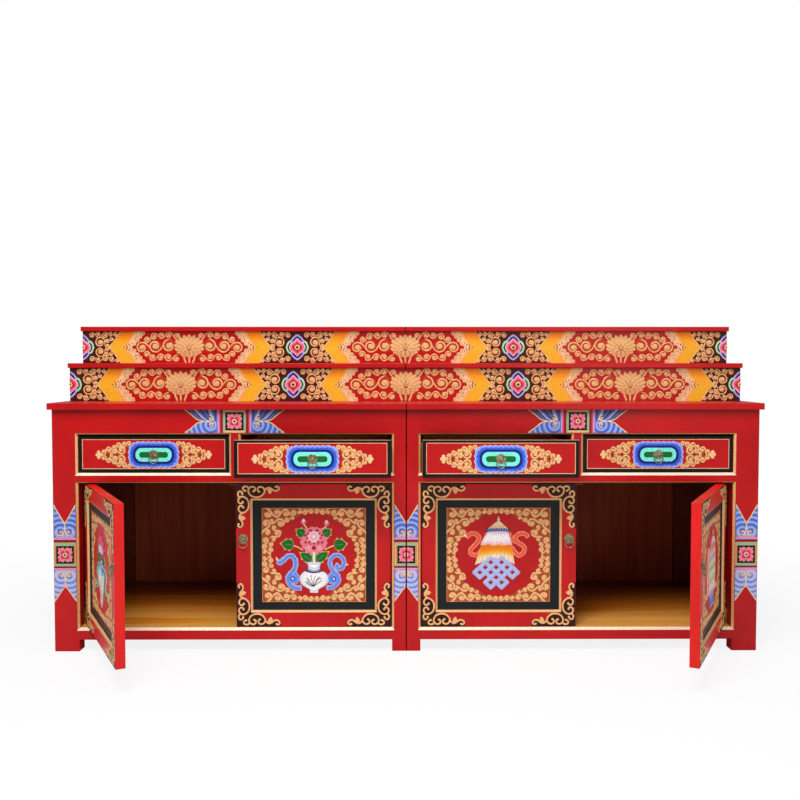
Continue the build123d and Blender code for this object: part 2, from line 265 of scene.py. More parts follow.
def dome(canvas, outline, colours, lift, rise, centre=None, hollow=0.0):
    # a raised shape: its outline shrinks in steps to the centre as the height grows, and hollow
    # presses the middle in again; colours go from the outline to the centre
    centre = outline.mean(0) if centre is None else np.asarray(centre, float)
    rings = centre + (outline - centre) * domeSteps[:, None, None]
    height = lift + rise * (domeHeights - hollow * (1 - domeSteps) ** 2)
    height[0] = -sunk
    height = np.broadcast_to(height[:, None, None], (*rings.shape[:2], 1))
    pour(canvas, np.concatenate([rings, height], 2), blend(colours, len(domeSteps))[:, None, :])


def disc(canvas, centre, radius, colours, lift, rise, sides=14, hollow=0.0):
    # a round raised spot
    dome(canvas, arc(centre, radius, 0, 360 - 360 / sides, sides), colours, lift, rise, centre, hollow)


def petal(canvas, base, tip, width, colours, lift, rise, point=0.8, belly=0.55):
    # a leaf or petal from base to tip: its width swells as a sine, fullest at belly, and point below 1
    # makes the tip blunt; colours go from one edge over the middle to the other
    base, tip = np.asarray(base, float), np.asarray(tip, float)
    t = np.linspace(0.015, 0.985, 13)
    half = 0.5 * width * np.sin(pi * t ** (np.log(0.5) / np.log(belly))) ** point
    axis = tip - base
    side = np.array([-axis[1], axis[0]]) / np.linalg.norm(axis)
    s = np.array([-1, -0.8, -0.35, 0, 0.35, 0.8, 1])
    top = (base + axis * t[:, None])[:, None] + side * (half[:, None] * s)[:, :, None]
    height = lift + rise * (1 - s ** 2) ** 0.5 * (half / half.max())[:, None] ** 0.5
    height[:, [0, -1]] = -sunk
    pour(canvas, np.concatenate([top, height[..., None]], 2), blend(colours, 4)[[0, 1, 2, 3, 2, 1, 0]])


def edging(canvas, halfU, halfV, profile, colours, sides=(0, 1, 2, 3)):
    # a strip carried round a rectangle with mitred corners: each point of its profile stands so far
    # outside the rectangle and so far above the face; the sides are bottom, right, top and left
    out, height = np.array(profile, float).T
    corner = np.array([(-1, -1), (1, -1), (1, 1), (-1, 1)])
    steps = np.linspace(0, 1, 9)[:, None, None]
    for n, colour in zip(sides, colours):
        start, end = (np.stack([u * (halfU + out), v * (halfV + out), height], 1)
                      for u, v in (corner[n], corner[(n + 1) % 4]))
        pour(canvas, start * (1 - steps) + end * steps, colour)


def curl(canvas, centre, radius, hand, leave, width, turns, colours, target=None, lift=0.0, rise=0.9,
         bud=0.22):
    # a gold scroll: the radius of a turning point grows from a quarter to the whole, faster round a larger
    # bud, then the line leaves along the tangent and runs on to the rim of the next scroll; bud is the
    # share of the round bud in its middle
    centre = np.asarray(centre, float)
    start = leave - 90 * hand
    t = np.linspace(0, 1, int(12 + 10 * turns))
    angle = np.radians(start - hand * 360 * turns * (1 - t))
    reach = (radius - width / 2) * (0.28 + 0.72 * t ** (1.03 - 1.05 * bud))
    path = centre + np.stack([np.cos(angle), np.sin(angle)], 1) * reach[:, None]
    thick = width * (0.85 + 0.25 * np.sin(pi * t))
    if target is not None:
        landing, landHand, landRadius = target
        ahead = np.array([cos(radians(leave)), sin(radians(leave))])
        side = radians(leave + 90 * (hand if landHand != hand else -hand))
        end = np.array(landing) + landRadius * np.array([cos(side), sin(side)]) + ahead * landRadius * 0.3
        gap = 0.45 * np.linalg.norm(end - path[-1])
        s = np.linspace(0, 1, 9)[1:, None]
        tail = ((1 - s) ** 3 * path[-1] + 3 * (1 - s) ** 2 * s * (path[-1] + ahead * gap)
                + 3 * (1 - s) * s ** 2 * (end - ahead * gap) + s ** 3 * end)
        path = np.concatenate([path, tail])
        thick = np.concatenate([thick, width * np.linspace(0.95, 0.55, 8)])
    ribbon(gold(canvas), path, thick, colours, lift, rise)
    disc(gold(canvas), centre, max(radius * bud, width * 0.52), goldSpot, lift, rise * 1.1, 12)


def scrollwork(canvas, rows, width, turns, rise, ground, bud, tone=("gold", "goldEdge")):
    # rows of scrolls (across, up, radius) that turn left and right by turns, each running into the next;
    # the line's width is the first number and the second times the scroll's radius, and ground is the
    # colour of the hollows inside them
    for n, curls in enumerate(rows):
        hands = [(-1) ** (n + 1 + k) for k in range(len(curls))]
        for k, (u, v, radius) in enumerate(curls):
            last = k + 1 == len(curls)
            (fromU, fromV, _), (toU, toV, toRadius) = curls[k - last], curls[k if last else k + 1]
            leave = degrees(atan2(toV - fromV, toU - fromU))
            target = None if last else ((toU, toV), hands[k + 1], toRadius)
            disc(gold(canvas), (u, v), radius - 1.2, (ground, ground), 0.0, 0.3, 18)
            curl(canvas, (u, v), radius, hands[k], leave, width[0] + width[1] * radius, turns,
                 goldLine(*tone), target, 0.0, rise, bud)


def addNode(tree, kind, inputs, **settings):
    # one shader node with its settings; an input is a value, or a node and the name of its output
    made = tree.nodes.new(kind)
    for name, value in settings.items():
        setattr(made, name, value)
    for socket, value in inputs.items():
        if isinstance(value, tuple) and isinstance(value[0], bpy.types.Node):
            tree.links.new(value[0].outputs[value[1]], made.inputs[socket])
        else:
            made.inputs[socket].default_value = value
    return made


def newMaterial(name):
    # an empty node material and its tree
    material = bpy.data.materials.new(name)
    material.use_nodes = True
    material.node_tree.nodes.clear()
    return material, material.node_tree


def rgba(code):
    return (*linear(code), 1)


# Each function from here to mixColour gives a node and the output that the next one reads
def placeOn(tree):
    return addNode(tree, "ShaderNodeTexCoord", {}), "Object"


def axisOf(tree, axis):
    return addNode(tree, "ShaderNodeSeparateXYZ", {"Vector": placeOn(tree)}), axis


def calculate(tree, operation, *values):
    return addNode(tree, "ShaderNodeMath", dict(enumerate(values)), operation=operation), 0


def between(tree, value, low, high):
    # how far the value has come from low to high, from 0 to 1
    return addNode(tree, "ShaderNodeMapRange", {"Value": value, "From Min": low, "From Max": high}), "Result"


def noise(tree, place, size, detail, **more):
    # cloudy noise in patches of about that size, in millimetres
    return addNode(tree, "ShaderNodeTexNoise", {"Vector": place, "Scale": 1 / (size * mm),
                                                "Detail": detail, **more}), "Fac"


def grained(tree, grain, along, across):
    # the place in two scales, one along the grain and one across it
    scale = [along if axis == grain else across for axis in "xyz"]
    return addNode(tree, "ShaderNodeMapping", {"Vector": placeOn(tree), "Scale": scale}), "Vector"


def grainNoise(tree, grain, finest, detail=6):
    # noise drawn out 14 times along the grain; finest is the width of one streak in millimetres
    return noise(tree, grained(tree, grain, 1 / 14, 1), finest, detail, Roughness=0.6)


def ramp(tree, source, stops):
    # colours, or greys given as numbers, at places along a value from 0 to 1
    made = addNode(tree, "ShaderNodeValToRGB", {"Fac": source})
    elements = made.color_ramp.elements
    for place, _ in stops[1:-1]:
        elements.new(place)
    for element, (place, colour) in zip(elements, stops):
        element.position = place
        element.color = rgba(colour) if isinstance(colour, str) else (colour, colour, colour, 1)
    return made, "Color"


def placeMask(tree, axis, low, high):
    # 1 where the coordinate's distance from zero lies between low and high, in metres
    size = calculate(tree, "ABSOLUTE", axisOf(tree, axis))
    above = calculate(tree, "GREATER_THAN", size, low)
    return calculate(tree, "MULTIPLY", above, calculate(tree, "LESS_THAN", size, high))


def mixColour(tree, factor, a, b, blendType="MULTIPLY"):
    return addNode(tree, "ShaderNodeMix", {"Factor": factor, 6: a, 7: b}, data_type="RGBA",
                   blend_type=blendType), 2


def surface(tree, colour, roughness, height, bump, depth, soften=0.0, coat=(0.0, 0.2), metallic=0.0,
            specular=0.2):
    # a principled shader with bump, edges softened by a radius, and a coat's weight and roughness
    normal = {}
    if soften:
        normal["Normal"] = (addNode(tree, "ShaderNodeBevel", {"Radius": soften}, samples=4), "Normal")
    raised = addNode(tree, "ShaderNodeBump", {"Strength": bump, "Distance": depth, "Height": height,
                                              **normal})
    shader = addNode(tree, "ShaderNodeBsdfPrincipled", {
        "Base Color": colour, "Roughness": roughness, "Normal": (raised, "Normal"), "Metallic": metallic,
        "Specular IOR Level": specular, "Coat Weight": coat[0], "Coat Roughness": coat[1]})
    addNode(tree, "ShaderNodeOutputMaterial", {"Surface": (shader, "BSDF")})


lacquer = {
    "light": "#C20E11", "main": "#B00A0E", "dark": "#96080B", "brushMm": 3.0, "cloudMm": 130.0,
    "inside": "#74301A", "insideDark": "#4A1C0E", "seamShadeMm": 1.5, "seam": "#300606",
    # painted shade under the boards' edges: its colour, the boards' top heights, how far down it reaches and
    # the span of heights it is spread over
    "underBoardShade": "#C6B4AC", "shadedBoardTops": (0.682, 0.798, 0.910), "shadeReach": 0.030, "shadeSpanZ": (0.6, 0.95),
}
# painted light: a lighter copy of the lacquer for the two open outer doors, whose faces and edges catch more
# light
litOuterRed = {**lacquer, "light": "#DE1A14", "main": "#CC1410", "dark": "#B00E0C"}


def shadedUnderBoards(tree, colour):
    # painted shade: the paint is darkened below the edge of each board, most right under it, where the
    # board's shadow falls
    low, high = lacquer["shadeSpanZ"]
    stops = []
    for top in lacquer["shadedBoardTops"]:
        for z, shade in ((top - lacquer["shadeReach"], "#FFFFFF"), (top - 0.002, lacquer["underBoardShade"]),
                         (top + 0.001, "#FFFFFF")):
            stops.append(((z - low) / (high - low), shade))
    return mixColour(tree, 1.0, colour, ramp(tree, between(tree, axisOf(tree, "Z"), low, high), stops))


def redLacquer(name, grain, bare=None, shades=lacquer):
    # Glossy red enamel brushed over pine: a wet, even red with faint brush lines along the grain, a
    # cloudy change of depth every hand's width, and a soft shine; between the places in bare, stained
    # wood shows instead, a dark stripe along the seam between the two cabinets is painted shade in the
    # gap, and the red is darkened under each board's edge as painted shade
    material, tree = newMaterial(name)
    brush = grainNoise(tree, grain, lacquer["brushMm"])
    cloud = noise(tree, placeOn(tree), lacquer["cloudMm"], 2)
    cloudy = ramp(tree, cloud, [(0.3, shades["main"]), (0.7, shades["light"])])
    streaks = ramp(tree, brush, [(0.28, shades["dark"]), (0.5, "#FFFFFF")])
    colour = mixColour(tree, 0.28, cloudy, streaks)
    if bare:
        stain = ramp(tree, brush, [(0.3, bare[3]), (0.65, bare[4])])
        colour = mixColour(tree, placeMask(tree, *bare[:3]), colour, stain, "MIX")
    # painted shade: a dark stripe along the seam between the two cabinets, where the gap lies in shade
    seam = placeMask(tree, "X", -1.0, lacquer["seamShadeMm"] * mm)
    colour = mixColour(tree, seam, colour, rgba(lacquer["seam"]), "MIX")
    sheen = ramp(tree, brush, [(0.3, 0.4), (0.7, 0.28)])
    surface(tree, shadedUnderBoards(tree, colour), sheen, brush, 0.1, 0.0003, 0.0009, (0.06, 0.1))
    return material


inside = {"dark": "#7C361E", "main": "#8E4022", "light": "#A04C28", "streakMm": 22.0}


def brownStain():
    # Dark brown stained boards: matt and softly streaked down the pine's grain
    material, tree = newMaterial("brown_stained_pine")
    streak = grainNoise(tree, "z", inside["streakMm"], 8)
    colour = ramp(tree, streak, [(0.3, inside["dark"]), (0.5, inside["main"]), (0.75, inside["light"])])
    surface(tree, colour, 0.5, streak, 0.12, 0.0004)
    return material


pine = {"light": "#FCBE60", "main": "#F4A83C", "dark": "#E08E26", "ringMm": 80.0, "boardMm": 128.0,
        "fibre": "#CDB48E", "fibreMm": 1.6, "joint": "#8A6230", "jointFrom": 0.985}
drawerShades = {**pine, "light": "#E0BA7E", "main": "#D6AC6C", "dark": "#C89E60", "boardMm": 400.0}
frameShades = {**pine, "light": "#8E5A2E", "main": "#74431E", "dark": "#4A2810", "boardMm": 400.0}


def varnishedPine(name, grain, across, shades, shadedDepth=None):
    # Varnished pine boards: growth rings drawn out along the grain as amber and honey bands, a fine fibre,
    # and a dark joint line between boards; between the two given depths the boards darken evenly into brown
    # towards the back, as painted shade
    material, tree = newMaterial(name)
    rings = noise(tree, grained(tree, grain, 0.07, 1), shades["ringMm"], 3, Distortion=1.2, Roughness=0.45)
    fibre = grainNoise(tree, grain, shades["fibreMm"], 4)
    figure = ramp(tree, rings, [(0.36, shades["dark"]), (0.46, shades["main"]), (0.64, shades["light"])])
    wood = mixColour(tree, 0.4, figure, ramp(tree, fibre, [(0.3, shades["fibre"]), (0.6, "#FFFFFF")]))
    boards = calculate(tree, "DIVIDE", axisOf(tree, across), shades["boardMm"] * mm)
    board = calculate(tree, "LESS_THAN", calculate(tree, "FRACT", boards), shades["jointFrom"])
    colour = mixColour(tree, 0.5, wood, ramp(tree, board, [(0.0, shades["joint"]), (1.0, "#FFFFFF")]))
    # painted shade: the boards turn darker and browner with depth towards the back
    if shadedDepth:
        depth = between(tree, axisOf(tree, "Y"), *shadedDepth)
        brown = ramp(tree, depth, [(0.0, "#FFFFFF"), (0.4, "#C8A888"), (1.0, "#6E4C36")])
        colour = mixColour(tree, 1.0, colour, brown)
    surface(tree, colour, 0.36, fibre, 0.15, 0.0003, 0.0006, (0.3, 0.2))
    return material


brass = {"bright": "#B8AE88", "dull": "#746B4E", "dirt": "#3A3219", "patchMm": 5.0}


def agedBrass():
    # Cast brass gone grey-brown with handling: dull olive metal with dark dirt in patches, and a rubbed
    # pale gold between them
    material, tree = newMaterial("aged_cast_brass")
    patch = noise(tree, placeOn(tree), brass["patchMm"], 5)
    colour = ramp(tree, patch, [(0.28, brass["dirt"]), (0.42, brass["dull"]), (0.66, brass["bright"])])
    rough = ramp(tree, patch, [(0.3, 0.55), (0.7, 0.3)])
    surface(tree, colour, rough, patch, 0.15, 0.0003, 0.0004, metallic=0.8, specular=0.5)
    return material


paint = {"grainMm": 1.3, "streakMm": 4.0, "thin": "#D2CCC6"}


def brushedPaint(name, metallic, roughness):
    # Hand-laid paint over raised gesso: each stroke keeps its own colour, a little darker and lighter
    # in patches the size of a brush tip, with a fine tooth that breaks its satin shine
    material, tree = newMaterial(name)
    own = (addNode(tree, "ShaderNodeAttribute", {}, attribute_name="paintColour"), "Color")
    patch = noise(tree, placeOn(tree), paint["streakMm"], 3)
    tooth = noise(tree, placeOn(tree), paint["grainMm"], 2)
    colour = mixColour(tree, 0.7, own, ramp(tree, patch, [(0.3, paint["thin"]), (0.6, "#FFFFFF")]))
    # the paint is also darkened under each board's edge as painted shade
    surface(tree, shadedUnderBoards(tree, colour), roughness, tooth, 0.2, 0.0002, coat=(0.05, 0.2), metallic=metallic)
    return material


finishes = {"gilding": (brushedPaint("gold_paint_on_gesso", 0.12, 0.42), "gilt_line"),
            "painting": (brushedPaint("satin_tempera_paint", 0.0, 0.45), "coloured_paint")}


# Which finish each carried-over piece of the frame gets
upright = redLacquer("red_enamel_upright", "z")
litOuterDoors = redLacquer("red_enamel_outer_doors", "z", shades=litOuterRed)
level = redLacquer("red_enamel_level_bare_sill", "x", ("Z", 0.0656, 0.0664, "#D89A44", "#F0B458"))
brownInside = (lacquer["insideDark"], lacquer["inside"])
sideRed = redLacquer("red_enamel_sides_brown_inside", "y", ("X", 0.009, 0.981, *brownInside))
rearRed = redLacquer("red_enamel_edge_brown_frame", "z", ("X", -1.0, 0.9893, *brownInside))
stained = brownStain()
# the floor is darkened towards the back of the cabinet as painted shade
floorPine = varnishedPine("varnished_pine_floor", "x", "Y", pine, (0.06, 0.5))
drawerPine = varnishedPine("plain_pine_drawer", "y", "Z", drawerShades)
framePine = varnishedPine("brown_pine_runner", "y", "Z", frameShades)
metal = agedBrass()


def finishOf(name):
    # the material of a node of the frame, from what the piece is
    if "pull" in name:
        return metal
    if name == "floor_boards":
        return floorPine
    if name in ("back_panels", "door_stops"):
        return stained
    if name == "drawer_runners":
        return framePine
    if name == "rear_frames":
        return rearRed
    if name in ("side_panels", "side_rails"):
        return sideRed
    if name.startswith("drawer") and name.endswith("box"):
        return drawerPine
    # the open outer doors take the lighter lacquer as painted light
    if name in ("door_1_frame", "door_1_panel", "door_4_frame", "door_4_panel"):
        return litOuterDoors
    return upright if "post" in name or name.endswith(("_frame", "divider")) else level


for name, node in frame["nodes"].items():
    node.data.materials.clear()
    node.data.materials.append(finishOf(name))
print("frame finished:", len(frame["nodes"]), "nodes")


def boxMm(node):
    # a node's lowest and highest corners in millimetres
    low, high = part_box(node)
    return np.array(low) / mm, np.array(high) / mm


# Step risers: lotus flowers on red between orange brackets, and jewelled flowers on dark brown
riser = {
    "flowerAt": (332.0, 990.0), "lotusAt": (0.0, 664.0), "halfPeriod": 330.0,
    "apex": 77.0, "apexSpread": 39.0, "orangeWidth": (51.0, 46.0), "creamWidth": (24.0, 34.0),
    "lineWidth": (3.5, 0.08), "darkWidth": (3.1, 0.075),
    "dots": ((9, 0), (9, 6), (10, 13), (14, 2.8), (14.5, 9), (18.5, 0), (19.5, 6.5), (10, 26), (14, 34)),
    "redCurls": (
        ((183, -1, 18), (224, 3, 20), (267, 4.5, 21.5)),
        ((200, 24, 11), (221, 32.5, 11.5), (245, 36.5, 11), (267, 37.5, 11), (294, 34, 12)),
        ((198, -21, 10.5), (216, -31, 11.5), (241, -31, 11.5), (265, -31, 12.5), (290, -35, 12)),
    ),
    "darkCurls": (
        ((54, 15, 17.5), (77, 4.5, 7)),
        ((54, -14.5, 16.5), (77, -6, 7)),
        ((29, 37, 9.5), (48, 38.5, 10), (70, 36.5, 10.5), (87, 42, 7.5), (103, 38.5, 8)),
        ((76, 20, 8), (90.5, 25.5, 8)),
        ((29, -36, 9.5), (47, -38.5, 9.5), (70, -35, 10.5), (90, -36, 9), (107, -42, 7)),
        ((74, -19.5, 7.5), (88, -21, 8)),
    ),
}


def bracket(v, half):
    # the bracket's edge: straight runs from its point at mid-height, eased towards the rims
    return (np.abs(v) / half) ** 0.8


def riserGround(canvas, half):
    # flat colours of half a period, from the flower at zero to the red field, as one layer on another
    v = np.linspace(-half, half, 41)
    outer = riser["apex"] + riser["apexSpread"] * bracket(v, half)
    inner = outer + np.interp(np.abs(v), (0, half), riser["orangeWidth"])
    cream = inner + np.interp(np.abs(v), (0, half), riser["creamWidth"]) - 4
    flower, dark, edge, orange, fading, field = (
        np.stack([u, v], 1) for u in (outer * 0, outer + 2, outer, inner - 5, inner - 6, cream))
    sheet(canvas, flower, dark, tint["russet"], 0.12)
    sheet(canvas, fading, field, blend(("amber", "peach", "goldPale", "gold", "gold"), 5), 0.3, rows=5)
    # the bracket runs from yellow below to deep orange at its top: the painted colour, deepened at the top
    # partly as painted shade under the board above
    warm = blend(("yellow", "yellow", "yellow", "amber", "orange"), len(v))
    sheet(canvas, edge, orange, np.repeat(warm[:, None], 4, 1), 0.42, rows=4)
    ribbon(gold(canvas), edge, 2.2, goldLine("goldPale", "gold"), 0.2, 0.6)
    for n in range(-4, 5):
        at = n * 10.8
        curl(canvas, (np.interp(at, v, cream) - 3, at), 7.2, 1 if n % 2 else -1, 150 if at > 0 else -150,
             3.2, 0.9, goldLine("goldPale"), lift=0.3)
    for back, height in riser["dots"]:
        for at in (-height, height):
            place = (np.interp(at, v, cream) - 3 - back, at)
            disc(canvas, place, 1.8, ("umber", "redDeep"), 0.3, 0.4, 8)


def jewelFlower(canvas):
    # a flower lozenge: navy lobes above and below, green ones at the sides, pink petals and a gold eye
    lobeTop = mirrored([(0, 4), (12, 6), (19.5, 13), (20, 21), (15, 29), (8, 35.5), (0, 40)])
    lobeSide = mirrored([(8, 0), (11, 14), (20, 21), (29, 16), (33, 8), (35, 0)], 1, -1)
    lobeTop, lobeSide = smooth(lobeTop, 48, True), smooth(lobeSide, 40, True)
    for flip in (False, True):
        across, up = moved(canvas, flipU=flip), moved(canvas, flipV=flip)
        dome(across, lobeSide, ("mint",) * 3, 0.2, 0.3, (18, 0))
        dome(across, (lobeSide - (14, 0)) * 0.74 + (14, 0), ("greenDark", "black", "black"), 0.5, 0.3)
        dome(up, lobeTop, ("lavender",) * 3, 0.65, 0.3, (0, 20))
        dome(up, (lobeTop - (0, 15)) * 0.76 + (0, 15), ("navy",) * 3, 0.95, 0.3)
    right = mirrored([(0, 26), (7, 19.5), (12.5, 14.5), (18.5, 11), (23.5, 0)], 1, -1)
    lozenge = smooth(mirrored([*right, (0, -26)]), 64, True)
    for scale, tones, lift in ((1.08, ("pinkPale",) * 2, 1.25), (0.95, ("pink",) * 2, 1.5),
                               (0.7, ("rose", "rose", "crimson"), 1.75),
                               (0.46, ("crimson", "redDeep"), 2.0)):
        dome(canvas, lozenge * scale, tones, lift, 0.3)
    disc(gold(canvas), (0, 0), 8.2, ("goldEdge", "goldPale", "gold", "gold"), 2.2, 0.8, 20, 0.5)
    disc(canvas, (0, 0), 3.8, greenEye, 2.8, 0.5)


def goldLotus(canvas):
    # a lotus in gold on three stems: rings of pointed petals that spring from below its middle
    golds = ("goldMid", "goldMid", "gold", "gold")
    for sign in (-1, 0, 1):
        stem = smooth([(sign * 18, -24), (sign * 15, -36), (sign * 10, -48.5)], 12)
        ribbon(gold(canvas), stem, 6.4, goldLine("gold", "goldMid"), 0.0, 0.8)
    for scale, count, turn, lift in ((1.0, 17, 0, 0.0), (0.82, 14, 13, 0.35), (0.63, 11, 0, 0.7),
                                     (0.44, 7, 26, 1.05)):
        for n in range(count):
            a = radians(turn + 360 * n / count)
            tip = scale * np.array((48 * sin(a), 35.5 * cos(a))) + (0, 4.5 * scale)
            petal(gold(canvas), tip * 0.25 - (0, 6), tip, 11 + 7 * scale, golds, lift, 0.8, 0.75, 0.6)
    disc(gold(canvas), (0, -2), 6, golds[:3], 1.4, 0.8, 16)


def paintRiser(side, tier):
    # one cabinet's riser: half periods run from each flower to the lotus beside it
    low, high = boxMm(f"{side}_{tier}_step_box")
    half = (high[2] - low[2]) / 2
    canvas = canvasAt("cabinets", f"{side}_{tier}_riser", (0, low[1] * mm, (low[2] + half) * mm))
    canvas = moved(canvas, flipU=side == "left")
    flowers, lotuses = riser["flowerAt"], riser["lotusAt"]
    for flower, lotus in zip((flowers[0], *flowers), (*lotuses, lotuses[1])):
        stretch = abs(lotus - flower) / riser["halfPeriod"]
        here = moved(canvas, flower, flipU=lotus < flower)
        riserGround(here, half)
        for rows, hollow, width in ((riser["redCurls"], "clay", riser["lineWidth"]),
                                    (riser["darkCurls"], "umber", riser["darkWidth"])):
            spread = [[(u * stretch, v, radius) for u, v, radius in row] for row in rows]
            scrollwork(here, spread, width, 1.0, 0.9, hollow, 0.42, ("gold", "goldMid"))
    for flower in flowers:
        jewelFlower(moved(canvas, flower))
    for lotus in lotuses:
        goldLotus(moved(canvas, lotus))


for side in ("left", "right"):
    for tier in ("lower", "upper"):
        paintRiser(side, tier)
print("step risers painted")


# Gold lines on the bevels round the door and drawer openings; the sills are cream as a painted highlight,
# and the heads a duller gold with black below as painted shade
openingLine = {"bevel": 6.5, "sill": "cream", "side": "gold", "head": "#E0A468", "proud": 0.3,
               "goldWidth": 5.4, "headGold": 2.4, "halfDivider": 16.0}


def lineOpening(canvas, x0, x1, z0, z1):
    # a thin coat on the four bevels of an opening, a little proud of the wood: the sill's covers it
    # all, and the others leave its outer part red; the sill's cream is a painted highlight where light
    # falls on the up-facing bevel, and the head's duller gold and the black on its inner part are
    # painted shade
    here = moved(canvas, (x0 + x1) / 2, (z0 + z1) / 2)
    size = ((x1 - x0) / 2, (z1 - z0) / 2)
    bevel, width = openingLine["bevel"], openingLine["goldWidth"]
    split = width - openingLine["headGold"]
    inner = [(-0.12, 0.25 - bevel), (0.3, -bevel - 0.6)]
    full = [(bevel + 0.7, -0.1), (bevel + 0.1, openingLine["proud"]), *inner]
    narrow = [(width + 0.3, width - bevel - 0.4), (width, width - bevel + 0.25), *inner]
    line = [*narrow[:2], (split, split - bevel + 0.25), (split, split - bevel - 0.4)]
    dark = [line[-1], (split, split - bevel + 0.22), *inner]
    edging(gold(here), *size, full, [tint[openingLine["sill"]]], (0,))
    edging(gold(here), *size, narrow, [tint[openingLine["side"]]] * 2, (1, 3))
    edging(gold(here), *size, line, [linear(openingLine["head"])], (2,))
    # painted shadow: black over the inner part of the head's bevel
    edging(here, *size, dark, [tint["black"]], (2,))


def openFront(side):
    # where the cabinet's front is open, from post to post
    outer, inner = boxMm(f"{side}_outer_front_post"), boxMm(f"{side}_inner_front_post")
    return (outer[1][0], inner[0][0]) if side == "left" else (inner[1][0], outer[0][0])


def lineCabinet(side):
    # the doors' opening and the two drawers'
    canvas = canvasAt("cabinets", f"{side}_opening_lines", (0, 0, 0))
    x0, x1 = openFront(side)
    middle, half = (x0 + x1) / 2, openingLine["halfDivider"]
    rail = boxMm(f"{side}_drawer_rail")
    sill, frieze = boxMm(f"{side}_bottom_rail")[1][2], boxMm(f"{side}_frieze_rail")[0][2]
    lineOpening(canvas, x0, x1, sill, rail[0][2])
    lineOpening(canvas, x0, middle - half, rail[1][2], frieze)
    lineOpening(canvas, middle + half, x1, rail[1][2], frieze)


for side in ("left", "right"):
    lineCabinet(side)
print("opening bevels lined")


# Posts and frieze: a square flower between pairs of notched blue wings
wing = {
    # the along stripes serve the frieze's upper wings: the painted stripes, made darker blue and violet as
    # painted shade under the top board
    "along": ("dusk", "slate", "dusk", "haze", "slate", "dusk", "slate", "dusk", "haze", "slate", "dusk"),
    "ring": ("haze", "sky", "slate", "deep", "sky"), "pale": ("haze", "lilac", "sky", "slate", "haze"),
    "period": 14.0, "bend": ((0.5, 0.46), (0.2, 0.14)),
    "friezeBend": ((0.84, 0.86), (0.58, 0.64), (0.16, 0.32)),
}


def squareFlower(canvas, half, rim, frame):
    # a pink four-petal flower on black inside a frame of two colours, each of two opposite sides
    profile = [(0, -sunk), (0, 0.3), (-rim / 2, 0.5), (-rim, 0.3), (-rim, -sunk)]
    edging(canvas, half + rim, half + rim, profile, [tint[name] for name in frame])
    square = half + rim * 0.5
    sheet(canvas, [(-square, -square), (-square, square)], [(square, -square), (square, square)],
          tint["black"], 0.22)
    size = half * 0.82
    lobe = np.array([(0.04, 0.04), (0.0, 0.5), (0.12, 0.92), (0.4, 1.0), (0.62, 0.88), (0.9, 0.95),
                     (0.95, 0.9), (0.88, 0.62), (1.0, 0.4), (0.92, 0.12), (0.5, 0.0)])
    lobe = smooth(lobe * size, 44, True)
    middle = np.array((0.45, 0.45)) * size
    for turn in range(4):
        corner = moved(canvas, turn=90 * turn)
        dome(corner, lobe, ("pinkPale", "pink", "pink"), 0.3, 0.4, middle)
        dome(corner, lobe * 0.6, ("pink", "rose", "rose"), 0.65, 0.3, middle * 0.6)
    disc(gold(canvas), (0, 0), half * 0.27, ("goldEdge", "goldPale", "gold"), 0.9, 0.8, 18, 0.6)
    disc(canvas, (0, 0), half * 0.13, greenEye, 1.2, 0.6)


def bands(names, count):
    # stripes of equal width with clean edges
    return np.array([tint[name] for name in names])[np.arange(count) * len(names) // count]


def feathered(points, centre, names):
    # stripes that ring a centre: the colours come round once in every period of distance from it
    cycle = np.array([tint[name] for name in names + names[:1]])
    turn = np.linalg.norm(points - centre, axis=2) / wing["period"] % 1 * len(names)
    i = turn.astype(int)
    t = np.clip(1.6 * (turn - i)[..., None] - 0.3, 0, 1)
    return cycle[i] * (1 - t) + cycle[i + 1] * t


def wingPair(canvas, half, base, tip, notch, curlAt, striping=("ring", "ring"), bend=wing["bend"]):
    # two wings with a notch between their tips, drawn upwards from base; bend tells where the edge runs,
    # in shares of the half width and of the way from notch to tip; stripes follow the gold edge or ring
    # the scroll at the wing's root
    count, rows = 56, 45
    (u, v, radius), tone = curlAt, goldLine("goldPale", "goldMid")
    bends = [(half * across, notch + part * (tip - notch)) for across, part in bend]
    edge = smooth([(half, tip), *bends, (0.6, notch), (0.2, notch - 3)], count)
    foot = np.linspace((half, base), (0.2, base), count)
    s = np.linspace(0, 1, rows)[:, None]
    grid = edge[:, None] * (1 - s) + foot[:, None] * s
    root = smooth([(0.3, notch - 4), (1.2, v + radius * 0.8), (u * 0.3, v - radius * 0.3),
                   (u * 0.7, v - radius + 0.6)], 20)
    for here, way in zip(halves(canvas), striping):
        shades = bands(wing[way], rows) if way == "along" else feathered(grid, (u, v), wing[way])
        sheet(here, edge, foot, shades, 0.25, 0.3, rows)
        ribbon(gold(here), edge, 3.4, tone, 0.2, 0.9)
        curl(here, (u, v), radius, 1, 130, 3.1, 0.95, tone, lift=0.45)
        ribbon(gold(here), root, 3.0, tone, 0.45)


post = {
    "wingTop": 415.0, "notchTop": 364.0, "footTop": 323.0, "wingBottom": 142.0, "notchBottom": 184.0,
    "footBottom": 230.0, "squareAt": 274.0, "curl": (0.38, 337, 12.0),
    "outerAt": 957.25, "outerHalf": 30.75, "innerHalf": 33.0,
    "stripes": ((-1.5, "pink", 5.0), (-5.0, "lavender", 2.4), (-9.0, "redDeep", 5.6)),
}


